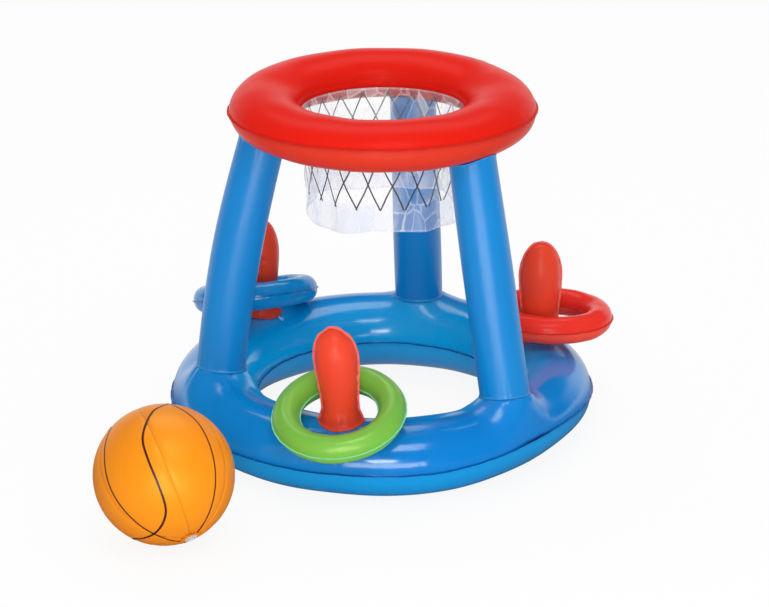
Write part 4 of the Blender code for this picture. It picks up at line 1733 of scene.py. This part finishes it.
@dataclass
class Ball:
    """The ball: six gores, two caps and printed lines."""

    centre: Vector
    lean: Matrix
    radius: float = 0.0950
    gores: int = 6
    gore_end: float = 0.0100
    gore_turn: float = math.radians(-24.0)
    columns: int = 26
    rows: int = 84
    seam_depth: float = 0.0025
    seam_draw: float = 0.0011
    seam_fillet: float = 0.0016
    puckers: Creases = Creases(depth=0.0011, reach=0.010, counts=(31, 47, 71, 90), seed=8)
    pucker_share: float = 0.25
    pole_pucker: float = 0.22
    pole_folds: Creases = Creases(depth=0.0010, reach=0.012, counts=(22, 34, 49), seed=12)
    pole_clear: float = 0.10
    cap_radius: float = 0.0145
    cap_weld: float = 0.86
    cap_sides: int = 72
    cap_cuts: int = 5
    line_lift: float = 0.00030
    line_cells: int = 12
    line_step: float = 0.004
    flat_height: float = 0.0030

    @property
    def place(self) -> Matrix:
        """The ball's frame, with the gores' poles on its Z axis."""
        return Matrix.Translation(self.centre) @ self.lean

    def gore(self) -> bpy.types.Object:
        """One gore about the X axis of the ball, with its edges turned in at the seams.

        Returns:
            The gore, about the ball's own middle.
        """
        gore = Bench.grid("ball_gore", self.columns, self.rows)
        points = Bench.points(gore)
        top = math.acos(self.gore_end / self.radius)
        across = points[:, 0]
        latitude = points[:, 1] * top
        ring = self.radius * np.cos(latitude)
        edge = math.pi / self.gores - np.arcsin(GAP / 2 / ring)
        step = 2.0 / self.columns
        inner = np.clip(np.abs(across) / (1 - step), 0.0, 1.0)
        angle = np.sign(across) * inner * edge
        seam = (1 - inner) * edge * ring
        pole = top - np.abs(latitude)
        draw = self.seam_draw * np.exp(-seam / self.seam_fillet)
        draw += self.puckers.valleys(latitude, seam) * (self.pucker_share + np.exp(-pole / self.pole_pucker))
        draw += self.pole_folds.valleys(angle, (pole - self.pole_clear) * self.radius)
        flange = np.abs(across) > 1 - step / 2
        scale = 1 - np.where(flange, self.seam_depth, draw) / self.radius
        points[:, 0] = scale * ring * np.cos(angle)
        points[:, 1] = scale * ring * np.sin(angle)
        points[:, 2] = scale * self.radius * np.sin(latitude)
        Bench.move(gore, points)
        Bench.paint(gore, weld=flange, run=latitude * self.radius)
        Bench.wall(gore, lambda spot: spot)
        return gore

    def copy(self, model: bpy.types.Object, name: str, place: Matrix) -> bpy.types.Object:
        """Copy a piece, with its own mesh, to another place.

        Args:
            model: The piece.
            name: The copy's name.
            place: Its place.

        Returns:
            The copy.
        """
        Bench.only(model)
        bpy.ops.object.duplicate(linked=False)
        made = Bench.added(name)
        Bench.apply_place(made, place)
        self.press(made)
        return made

    def press(self, piece: bpy.types.Object) -> None:
        """Press a piece flat where it meets the floor.

        Args:
            piece: The piece.
        """
        points = Bench.points(piece)
        low = np.minimum(points[:, 2] / self.flat_height - 1, 0.0)
        points[:, 2] = np.where(low < 0, self.flat_height * np.exp(low), points[:, 2])
        Bench.move(piece, points)

    def cap(self, pole: Pole, name: str) -> bpy.types.Object:
        """The round cover over the gores' ends at one pole.

        Args:
            pole: Which pole.
            name: The cover's name.

        Returns:
            The cover, in its place.
        """
        radius = self.radius + GAP + SHEET
        bpy.ops.mesh.primitive_circle_add(vertices=self.cap_sides, radius=1.0, fill_type="TRIFAN")
        cap = Bench.added(name)
        Bench.enter(cap)
        bpy.ops.mesh.select_all(action="SELECT")
        bpy.ops.mesh.subdivide(number_cuts=self.cap_cuts)
        Bench.leave()
        points = Bench.points(cap)
        share = np.minimum(np.hypot(points[:, 0], points[:, 1]), 1.0)
        turn = np.arctan2(points[:, 1], points[:, 0])
        spread = math.asin(self.cap_radius / radius) * share
        folds = Creases(depth=0.0006, reach=0.0050, counts=(7, 12, 17), seed=21 + pole.value)
        height = radius - folds.valleys(turn, (1 - share) * self.cap_radius)
        points[:, 0] = height * np.sin(spread) * np.cos(turn)
        points[:, 1] = height * np.sin(spread) * np.sin(turn)
        points[:, 2] = height * np.cos(spread) * pole.value
        Bench.move(cap, points)
        Bench.paint(cap, weld=share > self.cap_weld, run=turn * self.cap_radius)
        Bench.wall(cap, lambda spot: spot)
        Bench.apply_place(cap, self.place)
        return cap

    def line(self, route: Sequence[Vector], width: float) -> bpy.types.Object:
        """A printed line.

        Args:
            route: Directions from the ball's centre that it passes.
            width: Its width.

        Returns:
            The line, about the ball's own middle.
        """
        line = Bench.strip("ball_line", self.line_cells * (len(route) - 1))
        points = Bench.points(line)
        for k, (x, y, _) in enumerate(points.tolist()):
            share = (y + 1) / 2
            here = smooth_route(route, share).normalized()
            ahead = (smooth_route(route, min(share + self.line_step, 1.0))
                     - smooth_route(route, max(share - self.line_step, 0.0)))
            beside = ahead.cross(here).normalized()
            spot = (here * self.radius + beside * (x * width / 2)).normalized()
            points[k] = spot * (self.radius + self.line_lift)
        Bench.move(line, points)
        Bench.face_outwards(line, lambda spot: spot)
        return line

    def build(self, finishes: Finishes, view: "View") -> None:
        """Make and dress the ball.

        Args:
            finishes: The set's finishes.
            view: The camera, which the printed lines are drawn from.
        """
        model = self.gore()
        for k in range(self.gores):
            node = "ball_gore_%d" % (k + 1)
            turn = Matrix.Rotation(2 * math.pi * (k + 0.5) / self.gores + self.gore_turn, 4, "Z")
            gore = self.copy(model, node + "_vinyl", self.place @ turn)
            Bench.dress(gore, finishes.orange, Slot.ORANGE, Body.BALL, (node,))
        bpy.data.objects.remove(model)
        for pole in Pole:
            node = "ball_%s_cap" % pole.name.lower()
            Bench.dress(self.cap(pole, node + "_vinyl"), finishes.orange, Slot.CLEAR, Body.BALL, (node,))
        lines = [self.line(route, width) for route, width in view.ball_routes(self.centre)]
        ink = Bench.printed(lines, "ball_print", Matrix.Translation(self.centre))
        self.press(ink)
        Bench.dress(ink, finishes.ball_ink, Slot.ORANGE, Body.BALL)


def smooth_route(route: Sequence[Vector], share: float) -> Vector:
    """Point of a smooth curve through a closed route's points.

    Args:
        route: The points, the last one the same as the first.
        share: Share of the way along it.

    Returns:
        The point.
    """
    way = min(max(share, 0.0), 1.0) * (len(route) - 1)
    k = min(int(way), len(route) - 2)
    t = way - k
    before = route[k - 1] if k else route[-2]
    start, end = route[k], route[k + 1]
    after = route[k + 2] if k + 2 < len(route) else route[1]
    return 0.5 * ((2 * start) + (end - before) * t + (2 * before - 5 * start + 4 * end - after) * t * t
                  + (3 * start - before - 3 * end + after) * t ** 3)


# Camera and studio

@dataclass(frozen=True)
class View:
    """The camera, and lines on the ball as they are seen from it, in radii from its middle."""

    place: Vector = Vector((1.2900, -4.6568, 2.1000))
    azimuth: float = math.radians(14.97)
    pitch: float = math.radians(21.15)
    lens: float = 174.15
    sensor: float = 36.0
    far_clip: float = 60.0
    s_curve: tuple[tuple[float, float], ...] = (
        (0.063, 0.998), (-0.140, 0.895), (-0.252, 0.700), (-0.294, 0.476), (-0.224, 0.224),
        (-0.098, -0.084), (0.000, -0.350), (0.028, -0.531), (-0.028, -0.700), (-0.140, -0.825),
        (-0.280, -0.885), (-0.430, -0.900))
    left_arc: tuple[tuple[float, float], ...] = (
        (-0.75, 0.66), (-0.825, 0.35), (-0.727, -0.21), (-0.294, -0.727), (0.084, -0.91), (0.30, -0.95))
    right_arc: tuple[tuple[float, float], ...] = (
        (0.098, 0.993), (0.517, 0.657), (0.713, 0.028), (0.643, -0.49), (0.517, -0.741), (0.30, -0.95))
    s_width: float = 0.0030
    arc_width: float = 0.0021
    rim: float = 0.999

    def ball_routes(self, centre: Vector) -> list[tuple[list[Vector], float]]:
        """Printed lines of the ball, which go on at its back as in a mirror.

        Args:
            centre: The ball's centre.

        Returns:
            Closed routes of directions from its centre, with the lines' widths.
        """
        back = (self.place - centre).normalized()
        right = Matrix.Rotation(self.azimuth, 3, "Z").col[0].copy()
        right = (right - back * right.dot(back)).normalized()
        up = back.cross(right)
        routes = []
        for curve, width in ((self.s_curve, self.s_width), (self.left_arc, self.arc_width),
                             (self.right_arc, self.arc_width)):
            front = []
            for x, y in curve:
                flat = min(math.hypot(x, y), self.rim)
                front.append(right * x + up * y + back * math.sqrt(1 - flat * flat))
            mirrored = [spot - back * (2 * spot.dot(back)) for spot in reversed(front)]
            routes.append((front + mirrored[2:-2] + [front[0]], width))
        return routes

    def build(self) -> None:
        """Add the camera."""
        bpy.ops.object.camera_add(location=self.place,
                                  rotation=(math.pi / 2 - self.pitch, 0.0, self.azimuth))
        camera = bpy.context.active_object
        camera.name = "view_camera"
        camera.data.sensor_width = self.sensor
        camera.data.lens = self.lens
        camera.data.clip_end = self.far_clip
        camera.data.dof.use_dof = False
        bpy.context.scene.camera = camera


@dataclass(frozen=True)
class SoftBox:
    """A soft lamp, placed by its heading in degrees, its distance and its height."""

    name: str
    heading: float
    distance: float
    height: float
    wide: float
    tall: float
    power: float

    def build(self, target: Vector) -> None:
        """Add the lamp.

        Args:
            target: The place that it looks at.
        """
        place = polar(math.radians(self.heading), self.distance, self.height)
        bpy.ops.object.light_add(type="AREA", location=place)
        lamp = bpy.context.active_object
        lamp.name = self.name
        lamp.rotation_euler = (place - target).to_track_quat("Z", "Y").to_euler()
        lamp.data.shape = "RECTANGLE"
        lamp.data.size = self.wide
        lamp.data.size_y = self.tall
        lamp.data.energy = self.power
        lamp.visible_camera = False


@dataclass
class Studio:
    """Pale floor, white surroundings beyond the set and soft boxes."""

    surround: float = 0.66
    dark: float = 0.03
    floor_size: float = 24.0
    floor_height: float = -0.0005
    floor_white: Colour = (0.86, 0.86, 0.87)
    floor_share: float = 0.90
    near_share: float = 0.06
    far_edge: float = 0.60
    far_fade: float = 0.40
    sky_edge: float = 0.50
    sky_fade: float = 0.30
    wall_top: float = 0.28
    wall_fade: float = 0.12
    middle: Vector = Vector((0.0, 0.1, 0.25))
    boxes: tuple[SoftBox, ...] = (
        SoftBox("key_box", heading=-64.0, distance=1.40, height=2.45, wide=1.15, tall=0.85, power=13.5),
        SoftBox("back_box", heading=105.0, distance=1.30, height=2.50, wide=2.4, tall=1.20, power=20.0),
        SoftBox("front_box", heading=FRONT, distance=6.0, height=2.35, wide=1.5, tall=1.1, power=66.0),
        SoftBox("low_box", heading=-72.0, distance=1.55, height=0.21, wide=1.20, tall=0.36, power=7.0),
    )

    def build(self) -> None:
        """Add the studio."""
        for box in self.boxes:
            box.build(self.middle)
        self.floor()
        self.world()

    def shown(self, graph: Graph, far: Signal) -> Signal:
        """How much of the white background a ray meets.

        Args:
            graph: The graph of the floor or of the world.
            far: 1 beyond the set, where the white background is, and 0 in the dark of the near side.

        Returns:
            1 for camera rays, and for glossy and transmitted rays on the far side.
        """
        path = graph.node("ShaderNodeLightPath")
        seen = Signal(graph, path.outputs["Is Camera Ray"])
        gloss = Signal(graph, path.outputs["Is Glossy Ray"])
        through = Signal(graph, path.outputs["Is Transmission Ray"])
        return seen.most(gloss.most(through) * far)

    def mirrored(self, graph: Graph) -> Signal:
        """1 for glossy rays."""
        return Signal(graph, graph.node("ShaderNodeLightPath").outputs["Is Glossy Ray"])

    def ahead(self, graph: Graph, place: bpy.types.NodeSocket) -> Signal:
        """Distance of a place from the set's middle, along the view."""
        away = graph.node("ShaderNodeVectorMath", {"operation": "DOT_PRODUCT"},
                          {0: place, 1: -polar(math.radians(FRONT), 1.0)})
        return Signal(graph, away.outputs["Value"])

    def floor(self) -> None:
        """A plain pale floor that keeps the set's shadow."""
        bpy.ops.mesh.primitive_plane_add(size=self.floor_size, location=(0.0, 0.0, self.floor_height))
        floor = Bench.added("studio_floor")
        Bench.apply_place(floor)
        material, graph = new_graph("floor_white")
        far = graph.ramp(self.ahead(graph, graph.coordinates()), self.far_edge - self.far_fade,
                         self.far_edge, self.near_share, 1.0)
        plain = graph.mix(self.mirrored(graph) * (1 - far), self.floor_white, (self.dark,) * 3)
        diffuse = graph.node("ShaderNodeBsdfDiffuse", None, {"Color": plain})
        glow = graph.node("ShaderNodeEmission", None, {"Color": (1.0, 1.0, 1.0, 1.0), "Strength": 1.0})
        both = graph.node("ShaderNodeMixShader", None, {0: self.shown(graph, far) * self.floor_share,
                                                       1: diffuse.outputs[0], 2: glow.outputs[0]})
        graph.node("ShaderNodeOutputMaterial", None, {"Surface": both.outputs[0]})
        floor.data.materials.append(material)

    def world(self) -> None:
        """White surroundings beyond the set, and a dark room on the near side."""
        world = bpy.data.worlds.new("studio_white")
        world.use_nodes = True
        graph = Graph(world.node_tree)
        direction = graph.node("ShaderNodeTexCoord").outputs["Generated"]
        parts = graph.node("ShaderNodeSeparateXYZ", None, {"Vector": direction})
        low = graph.ramp(Signal(graph, parts.outputs["Z"]), self.wall_top,
                         self.wall_top + self.wall_fade, 1.0, 0.0)
        far = graph.ramp(self.ahead(graph, direction), self.sky_edge, self.sky_edge + self.sky_fade) * low
        unlit = (1 - self.mirrored(graph)) * (self.surround - self.dark) + self.dark
        strength = self.shown(graph, far) * (1 - unlit) + unlit
        sky = graph.node("ShaderNodeBackground", None, {"Color": (1.0, 1.0, 1.0, 1.0), "Strength": strength})
        graph.node("ShaderNodeOutputWorld", None, {"Surface": sky.outputs[0]})
        bpy.context.scene.world = world


# Assembly

class Places:
    """Places of the chambers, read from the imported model."""

    @staticmethod
    def node_points(name: str) -> np.ndarray:
        """Points of a node.

        Args:
            name: The node's name.

        Returns:
            Its points in the frame, one row each.
        """
        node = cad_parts[name]
        turn = np.array(node.matrix_world.to_3x3())
        return Bench.points(node) @ turn.T + np.array(node.matrix_world.translation)

    @staticmethod
    def level_ring(name: str, height: float) -> Matrix:
        """Frame of a level ring, from the middle of its lower sheet's box."""
        low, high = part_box(name + "_lower_sheet")
        return Matrix.Translation(((low.x + high.x) / 2, (low.y + high.y) / 2, height))

    @staticmethod
    def tossed_ring(name: str) -> Matrix:
        """Frame of a tossed ring.

        Args:
            name: The ring's name.

        Returns:
            Its frame, with X towards its valve.
        """
        lower = Places.node_points(name + "_lower_sheet")
        middle = lower.mean(axis=0)
        normal = Vector(np.linalg.svd(lower - middle, full_matrices=False)[2][2])
        if normal.z < 0:
            normal.negate()
        top = max((lower - middle) @ np.array(normal))
        centre = Vector(middle) + normal * (top + GAP / 2)
        valve = Vector(Places.node_points(name + "_valve_seat").mean(axis=0)) - centre
        across = (valve - normal * valve.dot(normal)).normalized()
        place = Matrix((across, normal.cross(across), normal)).transposed().to_4x4()
        place.translation = centre
        return place

    @staticmethod
    def ball() -> tuple[Vector, Matrix]:
        """Place of the ball, from its gores and its top cap.

        Returns:
            Its centre and its lean.
        """
        gores = [Places.node_points("ball_gore_%d" % (k + 1)) for k in range(Ball.gores)]
        centre = Vector(np.concatenate(gores).mean(axis=0))
        axis = (Vector(Places.node_points("ball_top_cap").mean(axis=0)) - centre).normalized()
        heading = math.atan2(axis.y, axis.x)
        return centre, Matrix.Rotation(heading, 4, "Z") @ Matrix.Rotation(math.acos(axis.z), 4, "Y")


LEGS = (
    LegStation("leg_right", seed=3, angle=-30.0, shift=0.0010, head_angle=-30.0, head_shift=0.0080,
               rise=0.0115),
    LegStation("leg_back", seed=4, angle=92.0, shift=0.0, head_angle=90.0, head_shift=0.0020, rise=0.0060),
    LegStation("leg_left", seed=5, angle=210.0, shift=-0.0030, head_angle=210.0, head_shift=0.0080,
               rise=0.0085, bow=0.0080),
)
PEGS = (
    PegStation("peg_front", seed=11, angle=-90.0, shift=0.0, height=0.138, seam_heading=10.0,
               foot_slide=0.0060, top_slide=-0.0050),
    PegStation("peg_right", seed=12, angle=35.0, shift=0.0015, height=0.1455, seam_heading=20.0),
    PegStation("peg_left", seed=13, angle=150.0, shift=0.0120, height=0.148, seam_heading=105.0),
)


def base_ring() -> WeldedRing:
    """The base ring, with the welds and collars of the legs and pegs.

    Returns:
        The ring, in its place.
    """
    section = Section(centre_radius=0.2415, half_width=0.0600, half_height=0.0525, seam_width=0.0035)
    foot_depth = 0.0010
    outward_slope = 0.10
    front_slope = 0.12
    leg_weld = 0.038
    peg_weld = 0.031
    collars = []
    patches = []
    for k, leg in enumerate(LEGS):
        centre = leg.centre(section)
        lean = polar(math.radians(leg.angle), outward_slope) + polar(math.radians(FRONT), front_slope)
        creases = Creases(depth=0.0012, reach=0.013, counts=(7, 11, 16, 23), seed=50 + k)
        collars.append(Collar(centre, leg.rise, lean))
        patches.append(WeldPatch(centre, leg_weld, creases))
    for peg in PEGS:
        creases = Creases(depth=0.0008, reach=0.008, counts=(6, 10, 15), seed=peg.seed)
        patches.append(WeldPatch(peg.centre(section), peg_weld, creases))
    return WeldedRing(
        "base", section, Places.level_ring("base", section.half_height - foot_depth), Body.FLOAT, Slot.BLUE,
        segments=540, arch_points=84, foot_depth=foot_depth,
        outer=Creases(depth=0.0007, reach=0.012, counts=(47, 71, 96, 131), seed=1),
        inner=Creases(depth=0.0005, reach=0.010, counts=(37, 59, 83), seed=2),
        patches=tuple(patches), collars=tuple(collars),
        slump=Slump(heading=math.radians(-20.0), half_spread=math.radians(48.0), squeeze=0.18, sag=0.38,
                    seam_rise=0.011),
        seam_lean=SeamLean(heading=math.radians(-85.0), slope=-0.009))


def hoop_ring() -> WeldedRing:
    """The red hoop.

    Returns:
        The ring, in its place.
    """
    section = Section(centre_radius=0.166, half_width=0.0490, half_height=0.0340, seam_width=0.0030)
    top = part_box("hoop_upper_sheet")[1].z
    return WeldedRing(
        "hoop", section, Places.level_ring("hoop", top - section.half_height), Body.FLOAT, Slot.RED,
        segments=440, arch_points=72,
        outer=Creases(depth=0.0005, reach=0.008, counts=(39, 61, 88, 113), seed=6),
        inner=Creases(depth=0.0004, reach=0.008, counts=(29, 47, 70), seed=7),
        seam_lean=SeamLean(heading=math.radians(-65.0), slope=0.050))


def tossed_ring(name: str, body: Body, slot: Slot, seed: int) -> WeldedRing:
    """One of the rings that are tossed over the pegs.

    Args:
        name: Its name.
        body: Its body.
        slot: Its material slot.
        seed: The seed of its creases.

    Returns:
        The ring, in its place.
    """
    section = Section(centre_radius=0.0734, half_width=0.0186, half_height=0.0200, seam_width=0.0020)
    return WeldedRing(
        name, section, Places.tossed_ring(name), body, slot,
        segments=250, arch_points=60, seam_wave=0.0002, unevenness=0.0003,
        outer=Creases(depth=0.0005, reach=0.006, counts=(23, 35, 52), seed=seed),
        inner=Creases(depth=0.0003, reach=0.005, counts=(17, 26), seed=seed + 5))


def dress_valves(material: bpy.types.Material) -> None:
    """Give the CAD meshes of the valve seats and plugs their finish.

    Args:
        material: The finish.
    """
    for name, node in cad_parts.items():
        if name.endswith("_valve_seat") or name.endswith("_plug"):
            node.data.materials.clear()
            node.data.materials.append(material)
            LOG.info("%s: CAD mesh", name)


def main() -> None:
    """Build the pieces in order, then the camera and the studio."""
    logging.basicConfig(level=logging.INFO, format="%(name)s %(message)s")
    finishes = Finishes()
    view = View()
    view.build()
    base = base_ring()
    hoop = hoop_ring()
    base.build(finishes.base)
    hoop.build(finishes.red)
    for station, collar in zip(LEGS, base.collars):
        Leg(station, base, hoop, collar).build(finishes.leg)
    for station in PEGS:
        Peg(station, base).build(finishes.peg)
    NetSleeve(hoop).build(finishes)
    tossed_ring("green_ring", Body.GREEN_RING, Slot.GREEN, 31).build(finishes.green)
    tossed_ring("red_ring", Body.RED_RING, Slot.RED, 32).build(finishes.ring_red)
    tossed_ring("blue_ring", Body.BLUE_RING, Slot.CLEAR_BLUE, 33).build(finishes.clear_blue)
    centre, lean = Places.ball()
    Ball(centre, lean).build(finishes, view)
    dress_valves(finishes.clear)
    Studio().build()
    bpy.context.scene.view_settings.view_transform = "Standard"


if __name__ == "__main__":
    main()
